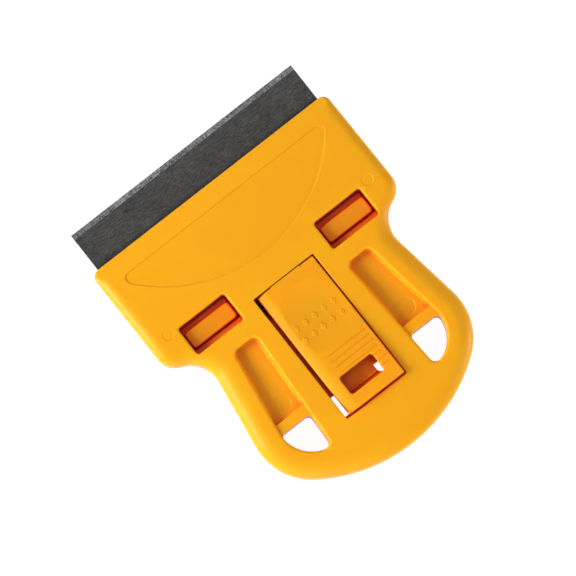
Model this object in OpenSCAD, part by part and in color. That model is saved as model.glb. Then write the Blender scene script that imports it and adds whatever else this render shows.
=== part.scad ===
// Scraper for ceramic hobs: two moulded shells, an inner clamp plate, a steel blade and
// a clamp lever with an eccentric barrel. It lies on its back with the lever face up.
// +X runs along the cutting edge, +Y towards it. Names that end in _back are distances
// behind the mouth, where the blade comes out of the shells.

/* [Blade] */
// Length of the cutting edge
blade_w = 100; // [94:0.5:106]
// Depth of the blade from cutting edge to back edge
blade_depth = 28; // [27:0.25:29]
// How far the cutting edge stands out of the mouth
blade_reach = 15.7; // [13:0.1:17]
// Thickness of the blade
blade_t = 0.7; // [0.5:0.05:0.8]
// Width of the ground bevel
bevel_w = 2; // [1:0.1:3]
// Thickness left at the cutting edge
edge_t = 0.08; // [0.04:0.01:0.12]

/* [Body] */
// Length of the shells from the mouth to the end of the handle
body_l = 118.3; // [115:0.5:124]
// Height of the front face above the back face
body_t = 12; // [11.6:0.1:13.5]
// Shell width beside the blade
cheek_w = 3.1; // [2.8:0.1:4]
// Width of the waist
waist_w = 81.4; // [79:0.2:84]
// Greatest width of the handle
handle_w = 90.2; // [88:0.2:93]
// Distance of the waist behind the mouth
waist_back = 56.7; // [55:0.1:58.5]
// Distance from the widest line of the handle to its end
handle_end_l = 30; // [28:0.5:32]
// Radius of the head's corners beside the blade
corner_r = 3; // [2.6:0.1:4]
// Radius of the head's shoulders
shoulder_r = 7.4; // [6.5:0.1:8.5]
// Radius of the hollow between shoulder and waist
waist_r = 11.8; // [10.5:0.1:13]
// Radius of the handle's sides
side_r = 22.83; // [21:0.01:25]

/* [Walls and edges] */
// General wall thickness of the front shell
wall = 2; // [1.7:0.05:2.2]
// Thickness of the rear shell's floor, on which the blade lies
floor_t = 2; // [1.8:0.05:2.2]
// Thickness of inner walls round openings
inner_wall = 1.7; // [1.4:0.05:1.8]
// Thickness of the stiffening ribs
rib_t = 1.2; // [0.9:0.05:1.4]
// Height of the gap that the blade lies in
mouth_h = 1; // [0.95:0.05:1.2]
// Height of the front lip over the blade
lip_h = 2; // [1.8:0.05:2.4]
// Edge radius at the lip
lip_edge = 0.8; // [0.5:0.05:1]
// Edge radius along the head's sides
head_edge = 2.6; // [2:0.1:2.8]
// Height of the edge rounding round the handle
grip_edge = 4.2; // [3.4:0.1:4.6]
// Width of the edge rounding round the handle
grip_edge_w = 5.6; // [4.2:0.1:6]
// Edge radius of the back face
back_edge = 2.4; // [1.6:0.1:2.6]

/* [Head] */
// Distance of the knee, where the steep lip ends
knee_back = 7.2; // [6:0.1:8]
// Height of the knee
knee_z = 8.4; // [8:0.1:9]
// Distance of the brow, where the sloping head meets the flat face
brow_back = 32.8; // [31.6:0.1:33.2]
// Depth of the D-shaped panel
panel_depth = 0.3; // [0.2:0.05:0.5]
// Distance of the panel's straight side
panel_back = 7.5; // [7:0.1:9]
// Distance of the lowest point of the panel's arc
panel_low_back = 32.5; // [30.5:0.1:32.6]
// Radius of the panel's arc
panel_arc_r = 57.6; // [54:0.2:62]
// Radius of the panel's corners
panel_corner_r = 2.5; // [2:0.1:3]

/* [Key windows] */
// Width of each window
window_w = 20.9; // [20:0.1:21.6]
// Length of each window along the handle
window_l = 11.9; // [11.6:0.1:12.4]
// Distance from the centre line to a window's inner side
window_in_x = 20.3; // [20:0.1:20.8]
// Distance of the windows' blade side
window_back = 34.8; // [34.4:0.1:35]
// Corner radius of the windows
window_r = 1.2; // [0.8:0.1:1.6]
// Rounding of the windows' rims
window_rim_r = 0.9; // [0.6:0.05:1.1]
// Rounding of smaller edges
rim_r = 0.5; // [0.3:0.05:0.6]
// How far the keys lie below the face
key_drop = 3; // [2.4:0.1:3.4]
// Open space between a key and the blade side of its window
key_front_gap = 2.7; // [2.5:0.1:3.1]
// How far the low step in front of each key lies below the face
key_step_drop = 5.7; // [5.2:0.1:6]
// Gap between that step and the blade side of its window
key_step_gap = 0.9; // [0.7:0.05:1.1]
// Gap beside a key
key_side_gap = 0.7; // [0.6:0.05:1]
// Gap between a key and the ledge behind it
key_back_gap = 0.5; // [0.4:0.05:0.6]
// Width of the ledge at the handle side of each window
ledge_w = 2.1; // [1.8:0.05:2.3]
// How far the ledges lie below the face
ledge_drop = 4.4; // [3.8:0.1:4.8]

/* [Lever slot] */
// Width of the slot
slot_w = 27.1; // [26.6:0.1:27.4]
// Length of the slot
slot_l = 54.3; // [54:0.1:55]
// Distance of the slot's blade side
slot_back = 43.3; // [43:0.1:43.5]
// Corner radius of the slot
slot_r = 0.8; // [0.6:0.1:1]
// Rounding of the slot's rim
slot_rim_r = 0.3; // [0.2:0.05:0.5]
// Length of the well under the lever's barrel
well_l = 9.2; // [9:0.1:9.8]
// Length of the finger hole under the lever's end
finger_l = 10.1; // [9.6:0.1:10.4]
// Width of the shelf over the finger hole, below the lever's end
shelf_w = 1.2; // [0.8:0.1:1.4]
// Height of the slot's floor above the back face
slot_floor_z = 7; // [6.8:0.1:7.4]
// Thickness of the slot's floor
slot_floor_t = 1.6; // [1.4:0.05:1.6]
// Width of the catch tongue's neck
tongue_neck_w = 12.4; // [11:0.1:13]
// Width of the catch tongue's end
tongue_end_w = 16.5; // [15.5:0.1:17.5]
// Length of the catch tongue
tongue_l = 5.3; // [5:0.1:5.4]
// Height of the ridge on the tongue
ridge_h = 0.7; // [0.4:0.05:0.9]

/* [Teardrop openings] */
// Width of the handle's rim outside each opening
handle_rim = 9.4; // [8.8:0.1:9.8]
// Distance of the openings' blade side
tear_back = 53.7; // [53.2:0.1:54.4]
// Distance from the centre line to an opening's inner side, at its blade end
tear_in_x = 20.8; // [20.4:0.1:21.4]
// Lean of the inner side, in degrees
tear_lean = 3.05; // [2:0.05:3.6]
// Distance of the pocket's handle side
pocket_end_back = 83.9; // [83.4:0.1:84.4]
// Distance of the through hole's straight side
hole_back = 87.6; // [87.2:0.1:88]
// Depth of the pocket's floor below the face
pocket_depth = 3.4; // [3:0.1:3.6]
// Depth of the rib between pocket and hole below the face
bar_depth = 1.2; // [1:0.05:1.5]
// Rounding of the openings' rims
tear_rim_r = 1.1; // [0.8:0.05:1.3]

/* [Clamp lever] */
// Gap to the left of the lever
lever_gap_left = 1.6; // [1.2:0.05:1.8]
// Gap to the right of the lever
lever_gap_right = 0.6; // [0.4:0.05:0.8]
// Gap between the barrel and the slot
barrel_gap = 0.15; // [0.1:0.01:0.3]
// Gap at the lever's free end
tail_gap = 0.6; // [0.4:0.05:0.8]
// Radius of the barrel's head, and height of the top face above the hinge axis
barrel_r = 3; // [2.8:0.05:3.1]
// Thickness of the lever's arm
arm_t = 3.4; // [3:0.05:3.6]
// Width of the rounding along the lever's long top edges
lever_edge_w = 1.7; // [1.2:0.1:2]
// Depth of the rounding along the lever's long top edges
lever_edge = 1.1; // [0.8:0.1:1.3]
// How far the free end stands proud of the face
tail_rise = 2; // [1.4:0.1:2.4]
// Radius of the eccentric
cam_r = 3.45; // [3.3:0.01:3.5]
// Distance of the eccentric's centre from the hinge axis
cam_throw = 0.9; // [0.8:0.01:0.95]
// Lean of the eccentric's centre towards the handle, in degrees
cam_lean = 30; // [26:0.5:32]
// Radius of the thumb dish in plan
dish_r = 13.8; // [12:0.1:14.4]
// Depth of the thumb dish
dish_depth = 0.6; // [0.4:0.05:0.8]
// Distance of the dish's centre behind the hinge axis
dish_from_axis = 15.25; // [14.4:0.05:15.6]
// Distance of the first grip groove behind the hinge axis
groove_from_axis = 29.85; // [29.4:0.05:30.2]
// Spacing of the grip grooves
groove_pitch = 2.38; // [2.3:0.01:2.5]
// Number of grip grooves
groove_count = 7; // [4:1:7]
// Depth of a grip groove
groove_depth = 0.3; // [0.2:0.05:0.4]
// Width of the lever's window
lever_window_w = 14.8; // [13.6:0.1:15.4]
// Length of the lever's window
lever_window_l = 7.8; // [7.2:0.1:8]
// Distance from the lever's free end to its window
lever_window_from_tail = 4.9; // [4.8:0.1:5.2]

/* [Hinge pin and screws] */
// Radius of the hinge pin
pin_r = 1.25; // [1.1:0.05:1.4]
// Length of the hinge pin
pin_l = 35; // [33.6:0.2:35.4]
// Radius of the head screws' shank
head_screw_r = 0.9; // [0.8:0.05:1.1]
// Radius of the head screws' bosses
head_boss_r = 2.3; // [2.1:0.1:2.6]
// Radius of the handle screws' shank
handle_screw_r = 1.35; // [1.2:0.05:1.5]
// Radius of the handle screws' bosses
handle_boss_r = 3.4; // [3.1:0.1:3.6]

/* [Hidden] */

// Extra length of every cutting solid
over = 1;
// Step between a rim's contour and the wall below it
draft_step = 0.05;
// Clearances between the pieces
pin_seat_gap = 0.03;
pin_run_gap = 0.06;
pin_end_gap = 0.2;
screw_gap = 0.06;
blade_side_gap = 0.3;
blade_stop_gap = 0.4;
clamp_gap = 0.05;
cam_gap = 0.1;
plate_gap = 0.5;
pilot_spare = 0.4;
// Travel of the clamp plate when the lever stands open
plate_lift = 0.6;
// How far one piece of a moulding runs into the next
weld = 0.2;
// Least edge radius inside the shells
least_edge = 0.3;
// Cheeks beside the slot that carry the hinge pin
cheek_t = 4.6;
cheek_l = 6.6;
// Smaller values of the clamp plate
plate_end_back = 44.7;
plate_rib_end_back = 40;
jaw_back = 5;
jaw_end_back = 13;
cam_seat_w = 24;
// Smaller values of the lever
skin_t = 1.4;
notch_w = 13.1;
notch_depth = 0.35;
groove_r = 0.7;
pawl_w = 12;
pawl_drop = 4.4;
pawl_gap = 0.3;
rib_top_z = body_t - wall - weld;
rib_start_back = 12;

// Heights
split_z = floor_t + mouth_h;
mouth_z = split_z + lip_h;
blade_top_z = floor_t + blade_t;
axis_z = body_t - barrel_r;
plate_z = blade_top_z + clamp_gap;
tongue_top_z = axis_z - cam_r - cam_throw * cos(cam_lean) - cam_gap;
plate_t = 1.5;
plate_relief = 0.4;
roof_clear_z = tongue_top_z + plate_lift + plate_gap;

// Places along the handle
mouth_y = (body_l - blade_reach) / 2;
axis_back = slot_back + barrel_gap + barrel_r;
slot_end_back = slot_back + slot_l;
finger_back = slot_end_back - finger_l;
well_back = slot_back + well_l;
window_end_back = window_back + window_l;
stop_back = blade_depth + blade_stop_gap;
window_out_x = window_in_x + window_w;
cam_seat_end_back = well_back - plate_gap;
jaw_x = blade_w / 2 - plate_gap;
plate_x = window_out_x;
plate_rib_x = (slot_w / 2 + window_in_x) / 2;
pawl_from_axis = finger_back + tongue_l + pawl_gap - axis_back;

// Round outline of the shells, solved so that its arcs run into each other
head_x = blade_w / 2 + cheek_w;
widest_back = body_l - handle_end_l;
side_c = [handle_w / 2 - side_r, -widest_back];
end_r = (pow(side_c.x, 2) + pow(handle_end_l, 2) - pow(side_r, 2)) / (2 * (handle_end_l - side_r));
end_center_back = body_l - end_r;
end_c = [0, -end_center_back];
end_angle = atan2(side_c.y - end_c.y, side_c.x - end_c.x);
waist_c = [waist_w / 2 + waist_r, -waist_back];
side_to_waist = waist_c - side_c;
flare = atan2(side_to_waist.y, side_to_waist.x) - acos((side_r + waist_r) / norm(side_to_waist));
shoulder_run = waist_c.x - (head_x - shoulder_r);
shoulder_drop = sqrt(pow(shoulder_r + waist_r, 2) - pow(shoulder_run, 2));
shoulder_c = [head_x - shoulder_r, waist_c.y + shoulder_drop];
shoulder_angle = atan2(-shoulder_drop, shoulder_run);

// Fineness of curves
arc_steps = 6;
side_steps = 12;
edge_steps = 4;
rim_steps = 2;
fine = 96;

// Screws
screw_head_share = 1.95;
head_screw_x = window_out_x + inner_wall + head_boss_r;
head_screw_back = window_back - rim_r;
head_screw_l = 7;
head_screw_head_t = 1;
handle_screw_back = pocket_end_back - handle_boss_r - inner_wall;
handle_screw_l = 5.8;
handle_screw_head_t = 1.2;
screw_head_sink = 0.2;
head_pilot_l = screw_head_sink + head_screw_head_t + head_screw_l - split_z + pilot_spare;
handle_pilot_l = screw_head_sink + handle_screw_head_t + handle_screw_l - split_z + pilot_spare;
recess_share = 1.1;

// A station is [x, y, outward x, outward y]. Outlines are lists of stations.
function arc(c, r, from, to, steps = arc_steps, first = 0, out = 1) =
    [for (i = [first:steps])
        let (a = from + (to - from) * i / steps)
        [c.x + r * cos(a), c.y + r * sin(a), out * cos(a), out * sin(a)]];

// Outline with round corners from a convex polygon that turns left
function rounded(pts, radii, steps = 4) =
    [for (i = [0:len(pts) - 1])
        let (b = pts[i],
             a = pts[(i + len(pts) - 1) % len(pts)],
             c = pts[(i + 1) % len(pts)],
             u = (a - b) / norm(a - b),
             v = (c - b) / norm(c - b),
             half = acos(u * v) / 2,
             r = radii[i],
             center = b + (u + v) / norm(u + v) * r / sin(half),
             start = atan2(u.x, -u.y),
             turn = 180 - 2 * half)
        each arc(center, r, start, start + turn, steps)];

function box_outline(x0, x1, back0, back1, r) =
    rounded([[x0, -back1], [x1, -back1], [x1, -back0], [x0, -back0]], [r, r, r, r]);

// Right half of the shells' outline, from the end of the handle to the mouth
half_outline = concat(
    arc(end_c, end_r, -90, end_angle, arc_steps + 2),
    arc(side_c, side_r, end_angle, flare, arc_steps + 2, 1),
    arc(waist_c, waist_r, 180 + flare, 180 + shoulder_angle, arc_steps, 0, -1),
    arc(shoulder_c, shoulder_r, shoulder_angle, 0, arc_steps, 1),
    [for (i = [1:side_steps])
        [head_x, shoulder_c.y + (-corner_r - shoulder_c.y) * i / side_steps, 1, 0]],
    arc([head_x - corner_r, -corner_r], corner_r, 0, 90, arc_steps / 2, 1));

// Right half of the D-shaped panel, from its arc's lowest point to its straight side
panel_c = [0, panel_arc_r - panel_low_back];
panel_drop = panel_c.y + panel_back + panel_corner_r;
panel_corner_c = [sqrt(pow(panel_arc_r - panel_corner_r, 2) - pow(panel_drop, 2)),
                  -panel_back - panel_corner_r];
panel_angle = atan2(-panel_drop, panel_corner_c.x);
half_panel = concat(
    arc(panel_c, panel_arc_r, -90, panel_angle, 2 * arc_steps),
    arc(panel_corner_c, panel_corner_r, panel_angle, 90, arc_steps, 1));

// Outline of a teardrop opening on the right, cut off straight at top_back. Its outer
// side keeps the same distance from the handle's edge all the way round.
tear_r = side_r - handle_rim;
tear_tip_r = 1.7;
tear_corner_r = 2.3;
lean_n = [cos(tear_lean), sin(tear_lean)];
lean_d = [sin(tear_lean), -cos(tear_lean)];
flare_n = [cos(flare), sin(flare)];
tear_start = [tear_in_x, -tear_back];
tip_from = tear_start + lean_n * tear_tip_r;
tip_to_side = side_c - tip_from;
tip_run = tip_to_side * lean_d + sqrt(pow(tear_r - tear_tip_r, 2) - pow(tip_to_side * lean_n, 2));
tip_c = tip_from + lean_d * tip_run;
tip_angle = atan2(tip_c.y - side_c.y, tip_c.x - side_c.x);
function inner_x(back, inset) =
    (lean_n * tear_start + inset + lean_n.y * back) / lean_n.x;
function outer_x(back, inset) =
    (flare_n * side_c + tear_r - inset + flare_n.y * back) / flare_n.x;
function teardrop(top_back, r) =
    let (turn = asin(min(1, (-top_back - r - side_c.y) / (tear_r - r))),
         on_arc = turn < flare,
         end = on_arc ? turn : flare,
         corner_x = on_arc ? side_c.x + (tear_r - r) * cos(turn) : outer_x(top_back + r, r))
    concat(
        arc(tip_c, tear_tip_r, 180 + tear_lean, 360 + tip_angle),
        arc(side_c, tear_r, tip_angle, end, arc_steps, 1),
        arc([corner_x, -top_back - r], r, end, 90, arc_steps, on_arc ? 1 : 0),
        arc([inner_x(top_back + r, r), -top_back - r], r, 90, 180 + tear_lean));
handle_screw_x = (inner_x(handle_screw_back, 0) + outer_x(handle_screw_back, 0)) / 2;
tear_outline = teardrop(tear_back, tear_corner_r);
hole_outline = teardrop(hole_back, window_r);
pocket_outline = rounded(
    [[inner_x(pocket_end_back, 0), -pocket_end_back],
     [outer_x(pocket_end_back, 0), -pocket_end_back],
     [outer_x(tear_back, 0), -tear_back],
     [inner_x(tear_back, 0), -tear_back]],
    [rim_r, rim_r, tear_corner_r, tear_corner_r]);

// Height of the front face at a distance behind the mouth
knee_soft = 0.6;
brow_soft = 0.3;
function soft_min(p, q, k) = min(p, q) - pow(max(k - abs(p - q), 0), 2) / (4 * k);
function face_z(back) = soft_min(
    soft_min(mouth_z + (knee_z - mouth_z) * back / knee_back,
             knee_z + (body_t - knee_z) * (back - knee_back) / (brow_back - knee_back),
             knee_soft),
    body_t, brow_soft);

// Height and width of the front edge's rounding at a distance behind the mouth
function ramp(t) = let (s = min(max(t, 0), 1)) s * s * (3 - 2 * s);
function edge_size(back, grip) = lip_edge
    + (head_edge - lip_edge) * ramp(back / knee_back)
    + (grip - head_edge) * ramp((back + shoulder_c.y) / (waist_back + shoulder_c.y));
function back_edge_r(back) = lip_edge + (back_edge - lip_edge) * ramp(back / knee_back);

// Solid through half rings of points that are mirrored to the left. Every ring runs
// from the middle of the handle's end to the mouth.
module mirrored_solid(half_rings) {
    m = len(half_rings[0]);
    n = 2 * m - 1;
    last = len(half_rings) - 1;
    points = [for (ring = half_rings) each concat(
        ring,
        [for (k = [m - 1:-1:1]) [-ring[k].x, ring[k].y, ring[k].z]])];
    sides = [for (k = [0:last - 1], i = [0:n - 1])
        let (j = (i + 1) % n)
        [k * n + i, (k + 1) * n + i, (k + 1) * n + j, k * n + j]];
    function left(k) = n - k;
    top = concat(
        [[last * n, last * n + left(1), last * n + 1]],
        [for (k = [1:m - 2])
            [last * n + k, last * n + left(k), last * n + left(k + 1), last * n + k + 1]]);
    bottom = concat(
        [[0, 1, left(1)]],
        [for (k = [1:m - 2]) [k, k + 1, left(k + 1), left(k)]]);
    polyhedron(concat(points), concat(sides, top, bottom), convexity = 8);
}

// Solid through copies of an outline; each level is [distance outwards, height]
module level_solid(outline, levels) {
    n = len(outline);
    last = len(levels) - 1;
    points = [for (level = levels, s = outline)
        [s.x + s[2] * level[0], s.y + s[3] * level[0], level[1]]];
    sides = [for (k = [0:last - 1], i = [0:n - 1])
        let (j = (i + 1) % n)
        [k * n + i, (k + 1) * n + i, (k + 1) * n + j, k * n + j]];
    top = [for (i = [n - 1:-1:0]) last * n + i];
    bottom = [for (i = [0:n - 1]) i];
    polyhedron(points, concat(sides, [top], [bottom]), convexity = 4);
}

// Straight prism on an outline that is moved outwards by a distance
module prism(outline, grow, z0, z1) {
    translate([0, 0, z0])
        linear_extrude(z1 - z0)
            polygon([for (s = outline) [s.x + s[2] * grow, s.y + s[3] * grow]]);
}

// Cutting solids whose mouth flares out in a rounded rim
module cut_from_front(outline, z0, z1, rim) {
    level_solid(outline, concat(
        [[0, z0]],
        [for (i = [0:rim_steps])
            let (a = 90 * i / rim_steps)
            [rim * (1 - cos(a)), z1 - rim + rim * sin(a)]],
        [[rim, z1 + over]]));
}
module cut_from_back(outline, z1, rim) {
    level_solid(outline, concat(
        [[rim, -over]],
        [for (i = [rim_steps:-1:0])
            let (a = 90 * i / rim_steps)
            [rim * (1 - cos(a)), rim - rim * sin(a)]],
        [[0, z1]]));
}

// Box between two sides and two distances behind the mouth
module slab(x0, x1, back0, back1, z0, z1) {
    translate([x0, -back1, z0])
        cube([x1 - x0, back1 - back0, z1 - z0]);
}

module both_sides() {
    children();
    mirror([1, 0, 0])
        children();
}

module in_place() {
    translate([0, mouth_y, 0])
        children();
}

// Solid that fills the front shell's outer form, drawn in by inset. Its front edge is
// rounded, with a radius that changes along the handle.
module front_form(inset, z0, smallest_edge) {
    mirrored_solid(concat(
        [[for (s = half_outline) [s.x - s[2] * inset, s.y - s[3] * inset, z0]]],
        [for (i = [0:edge_steps])
            let (a = 90 * i / edge_steps)
            [for (s = half_outline)
                let (h = max(edge_size(-s.y, grip_edge) - inset, smallest_edge),
                     w = max(edge_size(-s.y, grip_edge_w) - inset, smallest_edge),
                     d = inset + w * (1 - cos(a)),
                     y = s.y - s[3] * d)
                [s.x - s[2] * d, y, face_z(-y) - inset - h * (1 - sin(a))]]]));
}

// Solid that fills the rear shell's outer form
module rear_form() {
    mirrored_solid(concat(
        [for (i = [edge_steps:-1:0])
            let (a = 90 * i / edge_steps)
            [for (s = half_outline)
                let (e = back_edge_r(-s.y), d = e * (1 - cos(a)))
                [s.x - s[2] * d, s.y - s[3] * d, e * (1 - sin(a))]]],
        [[for (s = half_outline) [s.x, s.y, split_z]]]));
}

window_outline = box_outline(window_in_x, window_out_x, window_back, window_end_back, window_r);
slot_x0 = -slot_w / 2;
slot_x1 = slot_w / 2;
slot_outline = box_outline(slot_x0, slot_x1, slot_back, slot_end_back, slot_r);
well_outline = box_outline(slot_x0 + draft_step, slot_x1 - draft_step,
                           slot_back + draft_step, well_back, slot_r);
finger_outline = box_outline(slot_x0 + draft_step, slot_x1 - draft_step,
                             finger_back, slot_end_back - draft_step, slot_r);
floor_under_z = slot_floor_z - slot_floor_t;
pocket_floor_z = body_t - pocket_depth;
bar_z = body_t - bar_depth;
full_outline = concat(
    half_outline,
    [for (k = [len(half_outline) - 1:-1:1])
        let (s = half_outline[k])
        [-s.x, s.y, -s[2], s[3]]]);

// Places of the ribs, between the blade side of the pockets and their handle side
rib_count = 4;
rib_backs = [for (i = [0:rib_count - 1])
    tear_back + (pocket_end_back - tear_back) * (i + 0.5) / rib_count];
end_rib_shares = [-0.6, -0.3, 0, 0.3, 0.6];

// Half the width inside the handle's flank, and the reach of its end, both drawn in
function flank_x(back, inset) =
    (flare_n * side_c + side_r - inset + flare_n.y * back) / flare_n.x;
function end_back(x, inset) = end_center_back + sqrt(pow(end_r - inset, 2) - x * x);

// Walls, ribs and bosses under the front shell's roof, before the openings are cut
module front_inside() {
    roof_z = body_t - wall + weld;
    slab(slot_x0 - inner_wall, slot_x1 + inner_wall, slot_back - inner_wall,
         slot_end_back + inner_wall, roof_clear_z, roof_z);
    slab(slot_x0 - inner_wall, slot_x1 + inner_wall, well_back,
         slot_end_back + inner_wall, split_z, roof_z);
    slab(slot_x0 - cheek_t, slot_x1 + cheek_t, axis_back - cheek_l / 2,
         axis_back + cheek_l / 2, roof_clear_z, roof_z);
    both_sides() {
        prism(window_outline, inner_wall, roof_clear_z, roof_z);
        prism(tear_outline, inner_wall, pocket_floor_z - inner_wall, roof_z);
        prism(hole_outline, inner_wall, split_z, roof_z);
        for (b = rib_backs)
            slab(slot_x1, flank_x(b, wall / 2), b - rib_t / 2, b + rib_t / 2, split_z, rib_top_z);
        head_rib(head_screw_x, head_screw_back);
        head_rib(window_in_x / 2, slot_back);
        translate([head_screw_x, -head_screw_back, split_z])
            cylinder(r = head_boss_r, h = roof_z - split_z, $fn = fine);
        translate([handle_screw_x, -handle_screw_back, split_z])
            cylinder(r = handle_boss_r, h = pocket_floor_z - split_z - weld, $fn = fine);
    }
    for (share = end_rib_shares) {
        x = share * handle_w / 2;
        slab(x - rib_t / 2, x + rib_t / 2, slot_end_back, end_back(x, wall / 2 + weld),
             split_z, rib_top_z);
    }
}

// Rib under the head's roof, which follows the roof's slope
module head_rib(x, end) {
    sink = wall - weld;
    start = lip_h + wall;
    translate([x - rib_t / 2, 0, 0])
        rotate([90, 0, 90])
            linear_extrude(rib_t)
                polygon([[-start, face_z(start) - sink], [-knee_back, face_z(knee_back) - sink],
                         [-brow_back, face_z(brow_back) - sink], [-end, body_t - sink],
                         [-end, roof_clear_z], [-rib_start_back, roof_clear_z]]);
}

// Slot, windows, teardrop openings and holes, all cut from the front shell
module front_openings() {
    cut_from_front(slot_outline, slot_floor_z, body_t, slot_rim_r);
    prism(well_outline, 0, split_z - over, slot_floor_z + over);
    prism(finger_outline, 0, split_z - over, slot_floor_z + over);
    slab(slot_x0, slot_x1, well_back + inner_wall, finger_back - inner_wall,
         split_z - over, floor_under_z);
    both_sides() {
        cut_from_front(window_outline, roof_clear_z - over, body_t, window_rim_r);
        cut_from_front(tear_outline, bar_z, body_t, tear_rim_r);
        prism(pocket_outline, -draft_step, pocket_floor_z, bar_z + rim_r);
        prism(hole_outline, -draft_step, split_z - over, bar_z + rim_r);
        translate([head_screw_x, -head_screw_back, split_z - over])
            cylinder(r = head_screw_r + screw_gap, h = over + head_pilot_l, $fn = fine);
        translate([handle_screw_x, -handle_screw_back, split_z - over])
            cylinder(r = handle_screw_r + screw_gap, h = over + handle_pilot_l, $fn = fine);
    }
    panel();
    pin_saddle();
}

// Shallow D-shaped recess that follows the head's slope
module panel() {
    mirrored_solid([
        [for (s = half_panel)
            [s.x - s[2] * panel_depth, s.y - s[3] * panel_depth, face_z(-s.y) - panel_depth]],
        [for (s = half_panel) [s.x, s.y, face_z(-s.y)]],
        [for (s = half_panel) [s.x, s.y, face_z(-s.y) + over]]]);
}

// Seat for the hinge pin, open towards the back so that the pin drops in
module pin_saddle() {
    seat_r = pin_r + pin_seat_gap;
    seat_l = pin_l + 2 * pin_end_gap;
    translate([0, -axis_back, axis_z])
        rotate([0, 90, 0])
            cylinder(r = seat_r, h = seat_l, center = true, $fn = fine);
    slab(-seat_l / 2, seat_l / 2, axis_back - seat_r, axis_back + seat_r,
         roof_clear_z - over, axis_z);
}

// Catch tongue that reaches over the finger hole
module tongue() {
    flank = (tongue_end_w - tongue_neck_w) / 2;
    neck_x = tongue_neck_w / 2;
    end_y = -finger_back - tongue_l;
    curve = [for (i = [0:arc_steps])
        let (a = 180 + 90 * i / arc_steps)
        [neck_x + flank + flank * cos(a), end_y + rib_t + flank + flank * sin(a)]];
    side = concat([[neck_x, -finger_back + over]], curve, [[tongue_end_w / 2, end_y]]);
    translate([0, 0, floor_under_z])
        linear_extrude(slot_floor_t)
            polygon(concat(side, [for (i = [len(side) - 1:-1:0]) [-side[i].x, side[i].y]]));
    ridge_back = finger_back + tongue_l / 2;
    slab(-neck_x, neck_x, ridge_back - rib_t / 2, ridge_back + rib_t / 2,
         slot_floor_z - over, slot_floor_z + ridge_h);
}

// Shelf over the finger hole, which closes the gap at the lever's end
module finger_shelf() {
    slab(slot_x0 - weld, slot_x1 + weld, slot_end_back - shelf_w, slot_end_back + weld,
         floor_under_z, slot_floor_z);
}

// Ledge at the handle side of a window
module ledge() {
    slab(window_in_x - weld, window_out_x + weld, window_end_back - ledge_w,
         window_end_back + weld, roof_clear_z, body_t - ledge_drop);
}

module front_shell() {
    color([0.98, 0.69, 0.12])
        in_place() {
            difference() {
                union() {
                    difference() {
                        front_form(0, split_z, lip_edge);
                        front_form(wall, split_z - over, least_edge);
                    }
                    front_inside();
                }
                front_openings();
            }
            tongue();
            finger_shelf();
            both_sides()
                ledge();
        }
}

// Tray of the rear shell, with the channel that the blade slides in
module rear_tray() {
    channel_x = blade_w / 2 + blade_side_gap;
    difference() {
        rear_form();
        slab(-channel_x, channel_x, -over, stop_back, floor_t, split_z + over);
        intersection() {
            prism(full_outline, -wall, floor_t, split_z + over);
            slab(-head_x, head_x, stop_back + rib_t, body_l, floor_t, split_z + over);
        }
    }
}

// Walls, ribs and bosses on the rear shell's floor
module rear_inside() {
    base_z = floor_t - weld;
    prism(finger_outline, inner_wall, base_z, split_z);
    for (b = rib_backs)
        slab(-flank_x(b, wall / 2), flank_x(b, wall / 2), b - rib_t / 2, b + rib_t / 2,
             base_z, split_z);
    for (share = end_rib_shares) {
        x = share * handle_w / 2;
        slab(x - rib_t / 2, x + rib_t / 2, slot_end_back, end_back(x, wall / 2 + weld),
             base_z, split_z);
    }
    both_sides() {
        prism(hole_outline, inner_wall, base_z, split_z);
        translate([head_screw_x, -head_screw_back, base_z])
            cylinder(r = head_boss_r, h = split_z - base_z, $fn = fine);
        translate([handle_screw_x, -handle_screw_back, base_z])
            cylinder(r = handle_boss_r, h = split_z - base_z, $fn = fine);
    }
}

// Posts that keep the hinge pin in its saddles
module pin_posts() {
    for (side = [-1, 1])
        translate([side * (slot_w / 2 + cheek_t / 2), -axis_back, floor_t - weld])
            linear_extrude(axis_z - pin_r - pin_seat_gap - floor_t + weld)
                square([cheek_t - 2 * plate_gap, 2 * pin_r - 2 * barrel_gap], center = true);
}

// Hole and counterbore of a screw, seen from behind
module screw_hole(x, back, shank_r, head_t) {
    translate([x, -back, -over])
        cylinder(r = shank_r + 2 * screw_gap, h = split_z + 2 * over, $fn = fine);
    translate([x, -back, -over])
        cylinder(r = shank_r * screw_head_share + 2 * screw_gap,
                 h = over + screw_head_sink + head_t, $fn = fine);
}

module rear_shell() {
    color([0.96, 0.65, 0.1])
        in_place()
            difference() {
                union() {
                    rear_tray();
                    rear_inside();
                    pin_posts();
                }
                cut_from_back(finger_outline, split_z + over, tear_rim_r);
                both_sides() {
                    cut_from_back(hole_outline, split_z + over, tear_rim_r);
                    screw_hole(head_screw_x, head_screw_back, head_screw_r, head_screw_head_t);
                    screw_hole(handle_screw_x, handle_screw_back, handle_screw_r,
                               handle_screw_head_t);
                }
            }
}

// Key that shows in a window, with the low step in front of it
key_outline = box_outline(window_in_x + key_side_gap, window_out_x - key_side_gap,
                          window_back + key_front_gap,
                          window_end_back - ledge_w - key_back_gap, window_r);
key_hollow = box_outline(window_in_x + key_side_gap + plate_t,
                         window_out_x - key_side_gap - plate_t,
                         window_back + key_front_gap + plate_t,
                         window_end_back - ledge_w - key_back_gap - plate_t, rim_r);
module key() {
    top_z = body_t - key_drop;
    level_solid(key_outline,
                [[0, plate_z + plate_relief], [0, top_z - rim_r],
                 [-rim_r / 4, top_z - rim_r / 4], [-rim_r, top_z]]);
    slab(window_in_x + key_side_gap, window_out_x - key_side_gap, window_back + key_step_gap,
         window_back + key_front_gap + plate_t, plate_z + plate_relief, body_t - key_step_drop);
}

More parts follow.
